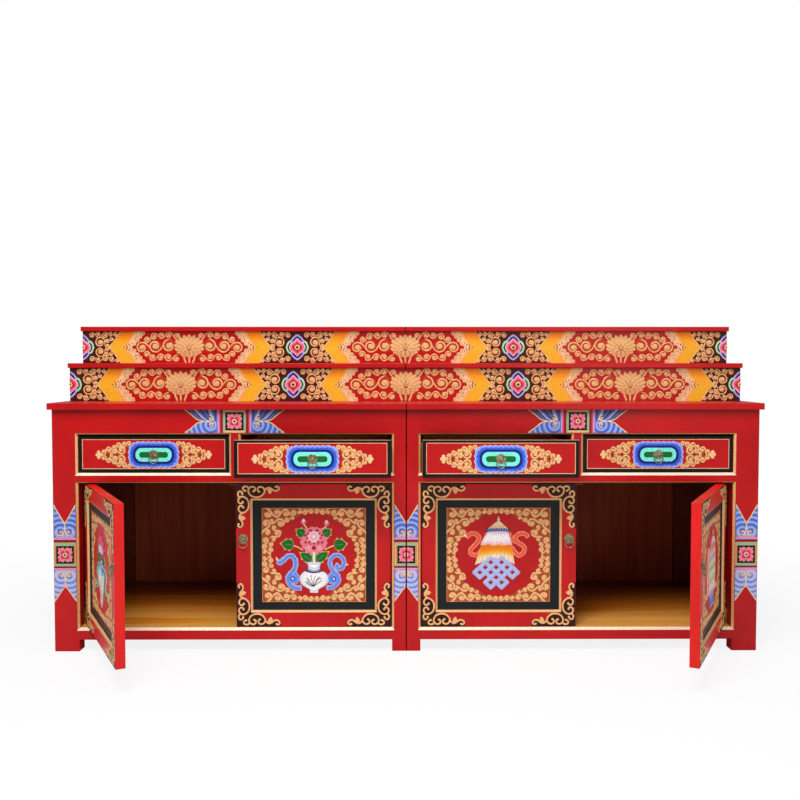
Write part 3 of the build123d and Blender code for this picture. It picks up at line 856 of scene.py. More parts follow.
def paintPost(canvas, half):
    # the ornament of a post, or of the two inner posts together, about its middle line
    share, curlV, radius = post["curl"]
    curlAt = (half * share, curlV, radius)
    top, bottom = post["footTop"], post["footBottom"]
    below = moved(canvas, v=bottom + top, flipV=True)
    wingPair(canvas, half, top, post["wingTop"], post["notchTop"], curlAt)
    wingPair(below, half, top, top + bottom - post["wingBottom"], top + bottom - post["notchBottom"], curlAt,
             ("pale", "pale"))
    for foot, sign in ((bottom, -1), (top, 1)):
        for step, tone, width in post["stripes"]:
            low, high = foot + sign * step - width / 2, foot + sign * step + width / 2
            sheet(canvas, [(-half, low), (half, low)], [(-half, high), (half, high)], tint[tone],
                  0.25 - step * 0.01)
    panel = moved(canvas, v=post["squareAt"])
    squareFlower(panel, 25.0, 5.0, ("sage", "goldMid", "sage", "goldMid"))
    for flip in (False, True):
        side, end = moved(panel, flipU=flip), moved(panel, flipV=flip)
        sheet(side, [(30, -30), (30, 30)], [(half, -34), (half, 34)], tint["gold"], 0.3)
        sheet(end, [(-30, 30), (30, 30)], [(-half, 34.5), (half, 34.5)], tint["sage"], 0.32)


friezeStripes = ((33, 37.5, "redDeep"), (37.5, 41.5, "rose"), (41.5, 44.5, "pink"), (44.5, 47, "lavender"),
                 (47, 50.5, "violet"))


def paintFrieze(side):
    # the frieze ornament hangs over the divider between the drawers
    rail = boxMm(f"{side}_frieze_rail")
    low, high = rail[0][2] + 6.8, rail[1][2] - 0.2
    half = (high - low) / 2
    canvas = canvasAt("cabinets", f"{side}_frieze", (sum(openFront(side)) / 2 * mm, 0, (low + half) * mm))
    squareFlower(canvas, 25.5, 6.5, ("gold", "sage", "gold", "sage"))
    for here in halves(canvas):
        for a, b, tone in friezeStripes:
            sheet(here, [(a, -half), (a, half)], [(b, -half), (b, half)], tint[tone], 0.25)
        lay = {**here, "axes": here["axes"][[1, 0, 2]]}
        wingPair(lay, half, 50.5, 139, 86, (9.8, 66, 9.6), ("along", "ring"), wing["friezeBend"])


for side, sign in (("left", -1), ("right", 1)):
    paintFrieze(side)
    outerAt = (sign * post["outerAt"] * mm, 0, 0)
    paintPost(canvasAt("cabinets", f"{side}_outer_post", outerAt), post["outerHalf"])
    paintPost(canvasAt("cabinets", f"{side}_inner_post", (0, 0, 0)), post["innerHalf"])
print("posts and frieze painted")


standoff = 6.1      # how far a ring's axis stands off the wood


def ringCanvas(joint, group):
    # the face that a ring pull hangs on: the ring's axis runs across it
    made = next(j for j in frame["joints"] if j["name"] == joint)
    canvas = canvasAt(group, group, made["pos_m"], -np.array(made["axis"], float))
    return moved(canvas, out=-standoff)


# Drawer fronts: a blue cloud-edged medallion between gold scrolls, in a black border
drawerFront = {
    "borderTop": 7.4, "borderSide": 10.4, "borderFoot": 10.8, "lineWidth": (2.3, 0.28),
    # drawers whose top-edge strip is cream as a painted highlight; on the others it is black as painted
    # shadow
    "highlightedLips": (2, 3),
    "scrolls": (
        ((69, 31, 8), (83, 29.5, 9), (97, 25.5, 9), (111, 20, 9), (125, 14, 9), (140, 8, 8.5)),
        ((90, 12.5, 13), (109, 8, 7.5), (120, 3, 5)),
    ),
    "ground": ((63, 34), (75, 35), (90, 33), (105, 28), (120, 22), (135, 15), (150, 6), (153, 0)),
    "groundFoot": ((63, 26), (73, 22), (79, 13), (80, 4), (80, 0), (104, 0), (128, 0), (153, 0)),
}


def paintDrawer(number):
    canvas = ringCanvas(f"drawer_{number}_ring_swing", f"drawer_{number}")
    low, high = boxMm(f"drawer_{number}_front")
    halfU, halfV = (high[0] - low[0]) / 2, (high[2] - low[2]) / 2
    above, beside, below = (drawerFront["border" + side] for side in ("Top", "Side", "Foot"))
    fieldV, shift = halfV - (above + below) / 2, (below - above) / 2
    corners = np.array([(-1, -1), (1, -1), (1, 1), (-1, 1), (-1, -1)])
    rim, field = corners * (halfU - 0.1, halfV - 0.1), corners * (halfU - beside, fieldV) + (0, shift)
    for n in range(4):
        sheet(canvas, rim[n:n + 2], field[n:n + 2], tint["black"], 0.2)
    bead = [(0.6, -sunk), (0.4, 0.5), (-0.5, 0.7), (-1.2, 0.4), (-1.4, -sunk)]
    edging(moved(gold(canvas), v=shift), halfU - beside, fieldV, bead,
           [tint[name] for name in ("creamShade", "creamShade", "peach", "creamShade")])
    cloud = evenly(rounded(69, 35, 26, 48), 160)
    for outline, tones, lift in ((scalloped(cloud, 26, 3.2), ("lavender",) * 2, 0.2),
                                 (scalloped(cloud * (0.96, 0.93), 26, 2.8), ("sky",) * 2, 0.4),
                                 (scalloped(cloud * (0.91, 0.84), 26, 2.0), ("blue",) * 2, 0.6),
                                 (rounded(57.5, 25.6, 22), ("navy",) * 2, 0.8),
                                 (rounded(50.5, 19.2, 17.5), ("turquoise",) * 2, 1.0),
                                 (rounded(40, 8.0, 7.6), ("greenDark", "green", "green"), 1.2)):
        dome(canvas, outline, tones, lift, 0.18, (0, 0))
    ground, groundFoot = smooth(drawerFront["ground"]), smooth(drawerFront["groundFoot"])
    for here in quarters(canvas):
        sheet(gold(here), ground, groundFoot, tint["bole"], 0.2)
        scrollwork(here, drawerFront["scrolls"], drawerFront["lineWidth"], 0.9, 1.0, "bole", 0.3)
    # a strip on the front's top edge: cream as a painted highlight on the drawers that stand out, black as
    # painted shadow on the closed ones
    lip = np.array([(halfV - 0.1, 0.1), (halfV + 0.3, 0.1), (halfV + 0.3, -3), (halfV - 0.1, -3)])
    along = np.linspace(0.5 - halfU, halfU - 0.5, 9)
    rings = np.stack([np.insert(lip, 0, u, 1) for u in along])
    pour(gold(canvas), rings, tint["cream" if number in drawerFront["highlightedLips"] else "black"])
    for tip in halves(canvas):
        for u, size in ((103.5, 4.2), (130, 4.6)):
            diamond = np.array([(size, 0), (0, size), (-size, 0), (0, -size)]) + (u, 0)
            dome(tip, evenly(diamond, 24), ("redDeep", "red"), 1.0, 0.2)
        petal(gold(tip), (140, 0), (154, 0), 12, goldPetal, 0, 0.9, 0.6, 0.5)
        for a in (-62, 0, 62):
            end = (150 + 13 * cos(radians(a)), 13 * sin(radians(a)))
            petal(gold(tip), (150, 0), end, 11, paleGoldPetal, 0.1, 1.0, 0.5, 0.65)


for number in (1, 2, 3, 4):
    paintDrawer(number)
print("drawer fronts painted")


# Doors: scrolls on dark corners of the frame, a lined bevel, and a scroll border round a lobed red field
doorWork = {
    "width": 436.5, "height": 404.5, "member": 48.5, "bevel": 7.5, "pullInset": 19.5, "goldWidth": 4.8,
    "bandU": 23.3, "bandV": 20.2, "lineWidth": (3.1, 0.31), "middleZ": 269.75,
    "rows": (
        ((8.5, 124, 8.6), (25, 124, 8.8), (41.5, 123.5, 8.8)),
        ((58, 121, 10.5), (79, 119.5, 12.5), (104, 120, 13.5), (131, 118, 15.5)),
        ((60, 105, 6), (77, 101, 7.5), (94, 92, 14), (120, 97, 8.5)),
        ((134, 90, 13), (133, 64.5, 13.5)),
        ((112, 78, 8), (103, 62, 12), (115, 45, 9.5)),
        ((136.5, 42, 10.5), (138, 24, 8.6), (138.4, 8, 8)),
        ((120.5, 30, 8), (123, 15, 8), (125, 3.5, 5)),
    ),
    "ground": ((0, 119), (20, 119), (36, 116), (50, 106), (64, 97), (80, 88), (94, 80), (97, 66), (98, 54),
               (110, 40), (116, 26), (122, 10), (124, 0)),
}


cornerWork = {
    "reach": 124, "strokeWidth": 5.6,
    "patch": ((124, 0.5), (125, -9), (119, -18), (107, -17), (99, -11), (92, -12), (84, -17), (80, -27),
              (71, -36), (57, -39.5), (48, -40.5), (41, -40.8)),
    "hook": ((26.6, -19.4), (20.8, -14.5), (21, -8.9), (26.6, -6.1), (33, -7), (36.5, -12)),
    "bow": ((49.5, -20.5), (54.5, -16.5), (53.2, -9.8), (47.6, -6.8), (41, -8.3), (36, -13.8), (35.4, -20.5),
            (38.8, -28.2), (45.4, -33.8), (56.5, -36.6), (68.7, -34.6), (77.5, -27.1), (81, -18.3),
            (77, -10), (69, -7.2), (62.2, -11), (62, -17.7), (66.4, -22)),
    "wave": ((81.5, -17), (87.5, -11), (94, -9.3), (100.8, -12.7), (106.3, -17), (112.4, -18.6), (119, -16),
             (121.8, -10.5), (118, -6), (112.5, -7)),
    "knobs": ((27, -18.5), (50, -19.6), (65.6, -21), (113, -7.6)),
}


def cornerScroll(canvas):
    # one corner of the door's frame, with its corner at the origin and the door towards +u and -v:
    # a dark brown patch under gold scrolls, one arm along each edge
    lay = {**canvas, "axes": -canvas["axes"][[1, 0, 2]] * np.array([[1], [1], [-1]])}
    width = cornerWork["strokeWidth"]
    rim = smooth(cornerWork["patch"], 60)
    edge = np.linspace((cornerWork["reach"], -0.4), (0.4, -0.4), 60)
    for arm in (canvas, lay):
        sheet(arm, edge, rim, tint["maroon"], 0.2)
        for name, count in (("hook", 24), ("bow", 80), ("wave", 46)):
            ribbon(gold(arm), smooth(cornerWork[name], count), width, goldLine(), 0.15, 1.1, (0.75, 0.75))
        for end in cornerWork["knobs"]:
            disc(gold(arm), end, width * 0.62, goldSpot, 0.15, 1.2, 10)
        petal(gold(arm), (95, -9), (97, -28), 15, goldPetal, 0.15, 1.0, 0.8, 0.4)


def paintDoorFrame(canvas):
    # corner ornaments on the frame's face, and the lined bevel round the panel
    halfU, halfV = doorWork["width"] / 2, doorWork["height"] / 2
    member, bevel, width = doorWork["member"], doorWork["bevel"], doorWork["goldWidth"]
    for quarter in quarters(canvas):
        cornerScroll(moved(quarter, -halfU, halfV, size=0.998))
    bead = [(0.5, -0.1), (0.1, 0.35), (-width, 0.45 - width), (-width - 0.4, -width - 0.1)]
    foot = [(-width, -width - 0.3), (-width, 0.3 - width), (-bevel + 0.1, 0.3 - bevel),
            (-bevel - 0.3, -bevel - 0.1)]
    wideU, wideV = halfU - member + bevel, halfV - member + bevel
    edging(gold(canvas), wideU, wideV, bead, [tint["gold"]] * 4)
    edging(canvas, wideU, wideV, foot, [tint["blackGreen"]] * 4)


def paintPanelBorder(canvas):
    # the dark band, and gold scrolls that fill the square's corners and sides round the red field
    halfU, halfV = (doorWork[name] / 2 - doorWork["member"] for name in ("width", "height"))
    bandU, bandV = doorWork["bandU"], doorWork["bandV"]
    inU, inV = halfU - bandU, halfV - bandV
    for sign in (-1, 1):
        sheet(canvas, [(-halfU, sign * halfV), (halfU, sign * halfV)],
              [(-halfU, sign * inV), (halfU, sign * inV)], tint["blackGreen"], 0.2)
        sheet(canvas, [(sign * halfU, -inV), (sign * halfU, inV)], [(sign * inU, -inV), (sign * inU, inV)],
              tint["blackGreen"], 0.2)
    square = [(0.4, -sunk), (0.2, 0.35), (-1.6, 0.35), (-1.8, -sunk)]
    edging(gold(canvas), inU, inV, square, [tint["goldMid"]] * 4)
    corner = (inU - 0.3, inV - 0.3)
    outside = np.concatenate([np.linspace((0, corner[1]), corner, 31),
                              np.linspace(corner, (corner[0], 0), 30)[1:]])
    ground = smooth(doorWork["ground"], 60)
    for here in quarters(canvas):
        sheet(gold(here), outside, ground, tint["bole"], 0.2)
        scrollwork(here, doorWork["rows"], doorWork["lineWidth"], 0.85, 1.2, "bole", 0.36)


def scarf(canvas, points, width, tones, lift=0.5, count=60):
    # a silk ribbon along a smooth line: a pale wavy border, a deeper middle, and a fold line that
    # wanders from one side to the other
    path = smooth(points, count)
    run = lengths(path)
    full = width * (0.92 + 0.08 * np.sin(run * 2 * pi / 14))
    ends = (0.15, 0.5)
    ribbon(canvas, path, full, tint[tones[0]], lift, 0.5, ends)
    shades = np.array([tint[tones[n]] for n in (1, 1, 2, 1, 1)])
    ribbon(canvas, path[1:-1], full[1:-1] * 0.74, shades, lift + 0.5, 0.5, ends)
    ahead = np.gradient(path, axis=0)
    side = np.stack([-ahead[:, 1], ahead[:, 0]], 1) / np.linalg.norm(ahead, axis=1, keepdims=True)
    fold = path + side * width * 0.2 * np.sin(run * 2 * pi / 70)[:, None]
    ribbon(canvas, fold[3:-3], 1.3, tint[tones[3]], lift + 0.9, 0.3)


def leaf(canvas, base, tip, width):
    # a broad green leaf on a gold one that shows as a rim with five points, and a pale rib
    base, tip = np.asarray(base, float), np.asarray(tip, float)
    axis = tip - base
    side = np.array([-axis[1], axis[0]]) / np.linalg.norm(axis) * width
    half = np.array([(0.02, 0.06), (0.1, 0.38), (0.22, 0.5), (0.3, 0.68), (0.42, 0.52), (0.56, 0.5),
                     (0.7, 0.6), (0.78, 0.4), (0.92, 0.22), (1.16, 0.0)])
    whole = np.concatenate([half, half[-2::-1] * (1, -1)])
    inner = [(0.05, 0.0), (0.14, 0.34), (0.32, 0.47), (0.6, 0.43), (0.84, 0.22), (0.97, 0.0)]
    inner = smooth(mirrored(inner, 1, -1), 36, True)
    middle = base + 0.5 * axis
    dome(gold(canvas), base + whole[:, :1] * axis + whole[:, 1:] * side, goldSpot, 0.6, 0.7, middle)
    dome(canvas, base + inner[:, :1] * axis + inner[:, 1:] * side, ("greenDark", "green", "green", "green"),
         1.1, 0.8, middle)
    ribbon(canvas, np.linspace(base + axis * 0.1, base + axis * 0.8, 5), 1.0, tint["sage"], 1.7, 0.3)


def peony(canvas, radius):
    # a full peony: a ring of broad petals with dark gaps, a pale ball of petals high in it and two
    # curled petals below
    crown = 0.26 * radius
    rings = ((0.62, 0.4, 8, 0, ("pinkPale", "pink", "pink", "rose"), 0.9, 0),
             (0.36, 0.36, 6, 30, ("pinkPale", "pink", "pink", "rose"), 1.5, crown * 0.5),
             (0.2, 0.27, 5, 0, ("white", "pinkPale", "pinkPale", "pink"), 2.2, crown))
    for place, size, count, turn, tones, lift, up in rings:
        for n in range(count):
            leafy = moved(moved(canvas, 0, up), turn=turn + 360 * n / count)
            r = radius * size
            shape = smooth([(0, -r * 0.9), (r * 0.8, -r * 0.4), (r * 0.98, r * 0.35), (r * 0.5, r * 0.85),
                            (r * 0.1, r * 0.7), (-r * 0.42, r * 0.9), (-r * 0.95, r * 0.4),
                            (-r * 0.8, -r * 0.4)], 28, True) + (0, radius * place)
            dome(leafy, shape, tones, lift, 0.9, (0, radius * place - r * 0.5), 0.3)
        if lift < 1:
            for n in range(count):
                a = radians(22.5 + 45 * n)
                spot = np.array((cos(a), sin(a))) * radius * 0.62 + (0, crown * 0.4)
                petal(canvas, spot * 0.72, spot * 1.2, radius * 0.24, ("crimson",) * 4, 1.8, 0.5)
        elif lift < 2:
            for n in range(9):
                a = radians(40 * n - 50)
                spot = np.array((cos(a), sin(a))) * radius * 0.43
                petal(canvas, (0, crown) + spot * 0.8, (0, crown) + spot * 1.3, radius * 0.17,
                      ("redDeep", "crimson", "crimson", "crimson"), 2.5, 0.4)
    disc(canvas, (0, crown + 1), radius * 0.11, ("pink", "white", "white"), 3.0, 0.7)
    for sign in (-1, 1):
        petal(canvas, (0, -radius * 0.36), (sign * radius * 0.62, -radius * 0.62), radius * 0.34,
              ("white", "pinkPale", "pink", "pinkPale"), 2.2, 0.9)
        petal(canvas, (0, -radius * 0.72), (sign * radius * 0.4, -radius * 0.8), radius * 0.24,
              ("white", "pinkPale", "pink", "pink"), 2.2, 0.8)
    disc(canvas, (0, -radius * 0.52), radius * 0.15, ("crimson", "crimson"), 2.9, 0.5)
    for a in (-150, -125, -90, -55, -30):
        spot = np.array((cos(radians(a)), sin(radians(a)))) * radius * 0.4
        petal(canvas, spot * 0.85, spot * 1.15, radius * 0.13, ("crimson",) * 4, 2.5, 0.5)


def bud(canvas, base, tip):
    # a peony bud on its stalk
    base, tip = np.array(base, float), np.array(tip, float)
    stalk = smooth([base, (base + tip) / 2 + (1.5, 0), tip], 12)
    ribbon(gold(canvas), stalk, 3.6, goldLine("goldPale"), 0.5)
    outer = ("crimson", "rose", "pink", "pink")
    for side, tones in ((-4.5, outer), (4.5, outer), (0, ("pink", "pinkPale", "white", "pinkPale"))):
        petal(canvas, tip - (0, 2), tip + (side * 1.3, 16 - abs(side)), 12, tones, 0.8, 1.0)


def spun(canvas, profile, tones, lift, rise, edgeTone):
    # half a turned vessel in relief: each (height, half-width) of its profile is a low arch across
    levels = smooth(profile, 44)
    s = np.linspace(-1, 1, 15)
    width = levels[:, 1:]
    height = lift + rise * np.sqrt(1 - (0.995 * s) ** 2) * (width / width.max())
    height[:, [0, -1]] = -sunk
    middle = blend(tones, len(levels))[:, None]
    weight = (np.abs(s) ** 4)[:, None]
    pour(canvas, np.stack([width * s, np.repeat(levels[:, :1], len(s), 1), height], 2),
         middle * (1 - weight) + middle * tint[edgeTone] * weight)


def vaseMotif(canvas):
    # a white vase of peonies tied with a blue scarf
    blues = ("haze", "sky", "sky", "blue")
    scarf(canvas, [(-57, -50), (-48, -58), (-48, -72), (-56, -82)], 12, blues, 0.3, 24)
    scarf(canvas, [(-34, -93), (-50, -94), (-66, -86), (-74, -71), (-70, -57), (-60, -47), (-53, -34),
                   (-52, -18), (-60, -4), (-73, -3), (-85, -13), (-95, -21), (-105, -17)],
          17, blues, count=80)
    scarf(canvas, [(56, -50), (46, -58), (44, -70), (50, -82)], 12, blues, 0.3, 24)
    scarf(canvas, [(34, -93), (50, -93), (63, -84), (70, -71), (66, -57), (56, -47), (48, -34), (45, -18),
                   (52, -5), (66, 0), (79, -7), (85, -22), (80, -36), (70, -40), (64, -33), (70, -25)],
          15, blues, count=90)
    petal(gold(canvas), (-102, -19), (-107, -5), 6, ("goldPale",) * 4, 0.5, 0.8)
    petal(gold(canvas), (84, -31), (98, -26), 5, ("goldPale",) * 4, 0.5, 0.8)
    for centre in ((-60, -67), (56, -68)):
        for radius, tones, lift, rise, sides in (
                (14.5, ("haze", "haze"), 0.9, 0.2, 28), (12.5, ("sky", "sky", "blue"), 1.1, 0.3, 28),
                (6.5, ("navy", "navy"), 1.4, 0.4, 14), (4.6, ("sky", "sky"), 1.8, 0.3, 14),
                (2.6, ("white", "white"), 2.1, 0.3, 10)):
            disc(canvas, centre, radius, tones, lift, rise, sides)
    for sign in (-1, 1):
        ribbon(gold(canvas), smooth([(sign * 60, 28), (sign * 44, 22), (sign * 30, 14)], 10), 3.6,
               goldLine("goldPale"), 0.8)
        bud(canvas, (sign * 16, 68), (sign * (29 if sign < 0 else 36), 88 if sign < 0 else 84))
    for base, tip, width in (((-25, 56), (-49, 72), 26), ((25, 56), (48, 72), 26),
                             ((-56, 28), (-92, 33), 30), ((56, 28), (92, 32), 32),
                             ((-6, -16), (-38, 6), 25), ((6, -16), (40, 8), 25)):
        leaf(canvas, base, tip, width)
    ribbon(canvas, np.linspace((0, -24), (0, 12), 6), 9,
           np.array([tint["sage"], tint["mint"], tint["white"], tint["mint"], tint["sage"]]), 0.9, 1.2)
    peony(moved(canvas, 0, 42), 40)
    spun(canvas, [(-107, 11.5), (-101, 12.5), (-97, 14.5), (-93, 22), (-87, 32), (-79, 39), (-69, 41.5),
                  (-59, 39.5), (-51, 33), (-46, 25), (-42.5, 18.5), (-38, 17), (-31, 17), (-26, 19),
                  (-20, 24)],
         ("white",) * 6, 0.6, 2.8, "shade")
    for v, half, tone, width in ((-46, 24, "navy", 5.0), (-41.5, 18, "violet", 2.0),
                                 (-21.5, 22, "shade", 1.8), (-34, 17, "shade", 1.2),
                                 (-99, 12.5, "shade", 1.2)):
        sag = smooth([(-half, v + 2), (0, v - 3), (half, v + 2)], 16)
        ribbon(canvas, sag, width, tint[tone], 2.2, 2.0 if half > 18 else 1.6)
    for middle, tip in (((-14, -84), (-25, -74)), ((-12, -74), (-21, -64)), ((-6, -70), (-9, -56)),
                        ((0, -72), (5, -57)), ((6, -74), (16, -60)), ((10, -80), (24, -71)),
                        ((-16, -76), (-14, -68)), ((12, -68), (22, -66))):
        blade = smooth([(-1, -89), middle, tip], 12)
        ribbon(canvas, blade, np.linspace(1.2, 2.2, 12), tint["steel"], 3.7, 0.5)


knot = {
    "stepU": 15.408, "stepV": 14.338, "overlap": 3.6, "halfWidth": 6.3,
    "holes": ((-1, 2), (1, 2), (0, 1), (-2, 1), (2, 1), (-1, 0), (1, 0), (-3, 0), (3, 0), (0, -1), (-1, -2),
              (1, -2)),
}


def knotMotif(canvas):
    # an endless knot: bands of a square lattice set on its corner pass over and under by turns
    bars = set()
    for u, v in knot["holes"]:
        ring = [(u, v + 1), (u + 1, v), (u, v - 1), (u - 1, v)]
        bars |= {tuple(sorted((ring[n], ring[n - 1]))) for n in range(4)}
    shades = np.array([tint[name] for name in ("violet", "haze", "haze", "haze", "violet")])
    for (au, av), (bu, bv) in sorted(bars):
        a, b = (np.array((u * knot["stepU"], v * knot["stepV"])) for u, v in ((au, av), (bu, bv)))
        along = (b - a) / np.linalg.norm(b - a)
        overA = ((au // 2 + av) % 2 == 0) == (bv > av)
        path = np.linspace(a - along * knot["overlap"], b + along * knot["overlap"], 7)
        side = np.array([-along[1], along[0]])
        across = path[:, None] + side * (knot["halfWidth"] * lineAcross)[:, None]
        climb = np.linspace(1.0, 0.1, 7) if overA else np.linspace(0.1, 1.0, 7)
        height = 0.6 + climb[:, None] + 0.9 * lineHeight
        height[:, [0, -1]] = -sunk
        pour(canvas, np.concatenate([across, height[..., None]], 2), shades)


def parasolMotif(canvas):
    # a parasol with its curtain and coral ribbons over an endless knot
    corals = ("coralPale", "coral", "coral", "rose")
    scarf(canvas, [(-91, 48), (-84, 57), (-70, 61), (-57, 54), (-56, 42), (-65, 29), (-77, 17), (-79, 6),
                   (-70, 0), (-57, 1), (-46, 17), (-40, 30)], 14.5, corals)
    scarf(canvas, [(86, 50), (76, 59), (63, 61), (51, 54), (48, 43), (57, 34), (70, 26), (74, 15), (68, 3),
                   (57, -1), (46, 8), (36, 24)], 14.5, corals)
    petal(canvas, (-88, 50), (-97, 58), 7, ("white", "pinkPale", "white", "pinkPale"), 0.9, 0.8)
    for sign in (-1, 1):
        tie = [(sign * u, v) for u, v in ((30, 64), (36, 54), (40, 44), (46, 34))]
        scarf(canvas, tie, 9, corals, 0.9, 24)
    skirtTop = smooth([(-48, 31), (-20, 29), (0, 30), (20, 29), (37, 31)], 40)
    skirtFoot = smooth([(-66, -28), (-40, -19), (-10, -12), (20, -15), (46, -27)], 40)
    sheet(canvas, skirtTop, skirtFoot, blend(("orange", "orange", "yellow", "cream", "cream"), 9),
          0.5, 1.6, 9)
    for n in range(9):
        t = (n + 0.5) / 9
        i = int(t * 40)
        fold = np.linspace(skirtTop[i], skirtFoot[i], 6)
        ribbon(canvas, fold, np.linspace(1.0, 2.2, 6), blend(("orange", "amber"), 6)[:, None], 1.4, 0.9)
    knotMotif(moved(canvas, -6, -50))
    curtainTop = smooth([(-27, 71), (-8, 69), (8, 69), (25, 71)], 36)
    curtainFoot = smooth([(-51, 31), (-40, 29), (-28, 32), (-14, 28), (0, 31), (14, 28), (28, 31),
                          (39, 29)], 36)
    sheet(canvas, curtainTop, curtainFoot, blend(("lilac", "white", "white", "pinkPale"), 7),
          0.9, 1.8, 7)
    for n in range(7):
        i = int((n + 0.5) / 7 * 36)
        fold = np.linspace(curtainTop[i], curtainFoot[i], 6)
        ribbon(canvas, fold, np.linspace(0.8, 1.6, 6), tint["pinkPale"], 1.9, 0.9)
    ribbon(gold(canvas), curtainFoot + (0, -1), 2.2, goldLine("goldPale"), 1.0, 1.2)
    roofEdge = smooth([(-35, 71), (-18, 70), (0, 70), (16, 70), (31, 71)], 30)
    roofTop = smooth([(-4, 95), (0, 100), (4, 95)], 30)
    sheet(canvas, roofEdge, roofTop, blend(("goldMid", "gold", "goldPale", "cream"), 9), 1.2, 2.6, 9)
    for n in range(9):
        rib = np.linspace(roofEdge[int((n + 0.5) / 9 * 30)], roofTop[int((n + 0.5) / 9 * 30)], 6)
        ribbon(canvas, rib, np.linspace(2.6, 1.0, 6), tint["cream"], 3.0, 0.8)
    brim = smooth([(-36, 70), (-18, 72.5), (0, 73.5), (16, 72.5), (32, 70)], 30)
    ribbon(canvas, brim, 11.0, tint["greenDark"], 3.2, 0.5)
    ribbon(canvas, brim, 7.0, tint["lilac"], 3.7, 0.4)
    for n in range(10):
        u = -33 + 62 * n / 9
        disc(canvas, (u, 73.5 - 0.003 * u * u), 2.7, ("black", "navy", "navy"), 4.1, 0.6, 12)
    disc(gold(canvas), (0, 101), 4.5, goldBead, 1.5, 2.0)
    petal(gold(canvas), (0, 102), (0, 111), 5, paleGoldPetal, 1.5, 1.5)


def conchMotif(canvas):
    # a pink lotus above a white conch that is tied with a green scarf
    greens = ("mint", "sage", "green", "greenDark")
    lotus = moved(canvas, 0, 46)
    for a in (-78, 78, -52, 52, -26, 26, 0):
        petal(lotus, (2 * sin(radians(a)), 0), (52 * sin(radians(a)), 48 * cos(radians(a)) + 2), 28,
              ("crimson", "rose", "pink", "rose"), 0.6 + 0.01 * (80 - abs(a)), 1.3, 0.8, 0.6)
    for a in (-60, 60, -30, 30, 0):
        petal(lotus, (0, -4), (34 * sin(radians(a)), 26 * cos(radians(a)) - 6), 20,
              ("violet", "lavender", "white", "lavender"), 1.9, 1.0, 0.8, 0.6)
    for sign in (-1, 1):
        leaf(canvas, (sign * 8, 30), (sign * 56, 22), 26)
        scarf(canvas, [(sign * 12, -10), (sign * 34, 2), (sign * 58, -2), (sign * 66, -20), (sign * 54, -36),
                       (sign * 60, -54), (sign * 82, -60), (sign * 92, -46)], 13, greens)
    spun(canvas, [(-104, 2), (-92, 8), (-70, 16), (-44, 26), (-20, 35), (-2, 34), (10, 24), (18, 10),
                  (21, 3)],
         ("shade", "white", "white", "white", "turquoise", "white", "white"), 0.8, 4.0, "turquoise")
    for n in range(6):
        v, half = 14 - 7 * n, (18, 31, 34, 33, 30, 27)[n]
        whorl = smooth([(-half, v - 2), (-half * 0.3, v + 4), (half * 0.7, v + 1), (half, v - 5)], 18)
        ribbon(canvas, whorl, 1.3, tint["violet"], 2.4, 2.2)
    petal(canvas, (4, -92), (14, -18), 15, ("rose", "pinkPale", "pink", "pinkPale"), 2.9, 2.0)
    lip = smooth([(1, -92), (10, -60), (24, -30), (30, -12)], 24)
    ribbon(gold(canvas), lip, 2.0, goldLine("goldPale"), 2.6, 2.4)


def bannerMotif(canvas):
    # a banner of victory: tiers of silk hang from a jewelled top between yellow streamers
    creams = ("cream", "amber", "yellow", "orange")
    for sign in (-1, 1):
        scarf(canvas, [(sign * 30, 58), (sign * 50, 52), (sign * 57, 30), (sign * 50, 8), (sign * 58, -14),
                       (sign * 55, -40), (sign * 64, -62), (sign * 82, -58)], 14, creams)
    tiers = ((-102, -60, 28, 38, ("navy", "blue", "sky", "lilac")),
             (-66, -26, 36, 45, ("lilac", "white", "white", "pinkPale")),
             (-32, 4, 40, 48, ("goldPale", "cream", "white", "mint")),
             (-2, 34, 42, 50, ("yellow", "cream", "white", "sage")),
             (28, 62, 34, 47, ("lilac", "white", "pinkPale", "pink")))
    for n, (foot, head, top, bottom, tones) in enumerate(tiers):
        i = np.linspace(0, 1, 36)
        upper = np.stack([top * (2 * i - 1), head + 0 * i], 1)
        lower = np.stack([bottom * (2 * i - 1), foot + 4 * np.abs(np.sin(4 * pi * i))], 1)
        sheet(canvas, lower, upper, blend(tones, 7), 0.8 + 0.45 * n, 1.2, 7)
        for k in range(1, 8):
            j = int(k * 36 / 8)
            ribbon(canvas, np.linspace(lower[j], upper[j], 5), np.linspace(1.6, 0.8, 5),
                   tint[tones[-1]] * 0.75, 1.6 + 0.45 * n, 0.8)
        ribbon(gold(canvas), lower, 2.0, goldLine("goldPale"), 0.9 + 0.45 * n, 1.0)
    roof = smooth([(-44, 62), (0, 58), (44, 62)], 30)
    peak = smooth([(-4, 88), (0, 94), (4, 88)], 30)
    sheet(canvas, roof, peak, blend(("rose", "pinkPale", "white", "coral"), 9), 2.8, 1.8, 9)
    for n in range(9):
        disc(gold(canvas), (-42 + 10.5 * n, 60.5 + 0.002 * (-42 + 10.5 * n) ** 2), 2.8, goldBead, 3.2, 1.2)
    for radius, v in ((5, 95), (3.2, 102)):
        disc(gold(canvas), (0, v), radius, goldBead, 2.0, 2.0)


motifs = {1: conchMotif, 2: vaseMotif, 3: parasolMotif, 4: bannerMotif}


def paintDoor(number):
    # the door's face is found from its pull, which hangs near the free edge
    canvas = ringCanvas(f"door_{number}_ring_swing", f"door_{number}")
    towards = -1 if number in (1, 3) else 1
    hingeEdge = (doorWork["width"] / 2 - doorWork["pullInset"]) * towards
    face = moved(canvas, hingeEdge, doorWork["middleZ"] - canvas["origin"][2] / mm)
    paintDoorFrame(face)
    panel = moved(face, out=-doorWork["bevel"])
    paintPanelBorder(panel)
    motifs[number](panel)


for number in (1, 2, 3, 4):
    paintDoor(number)
print("doors painted")


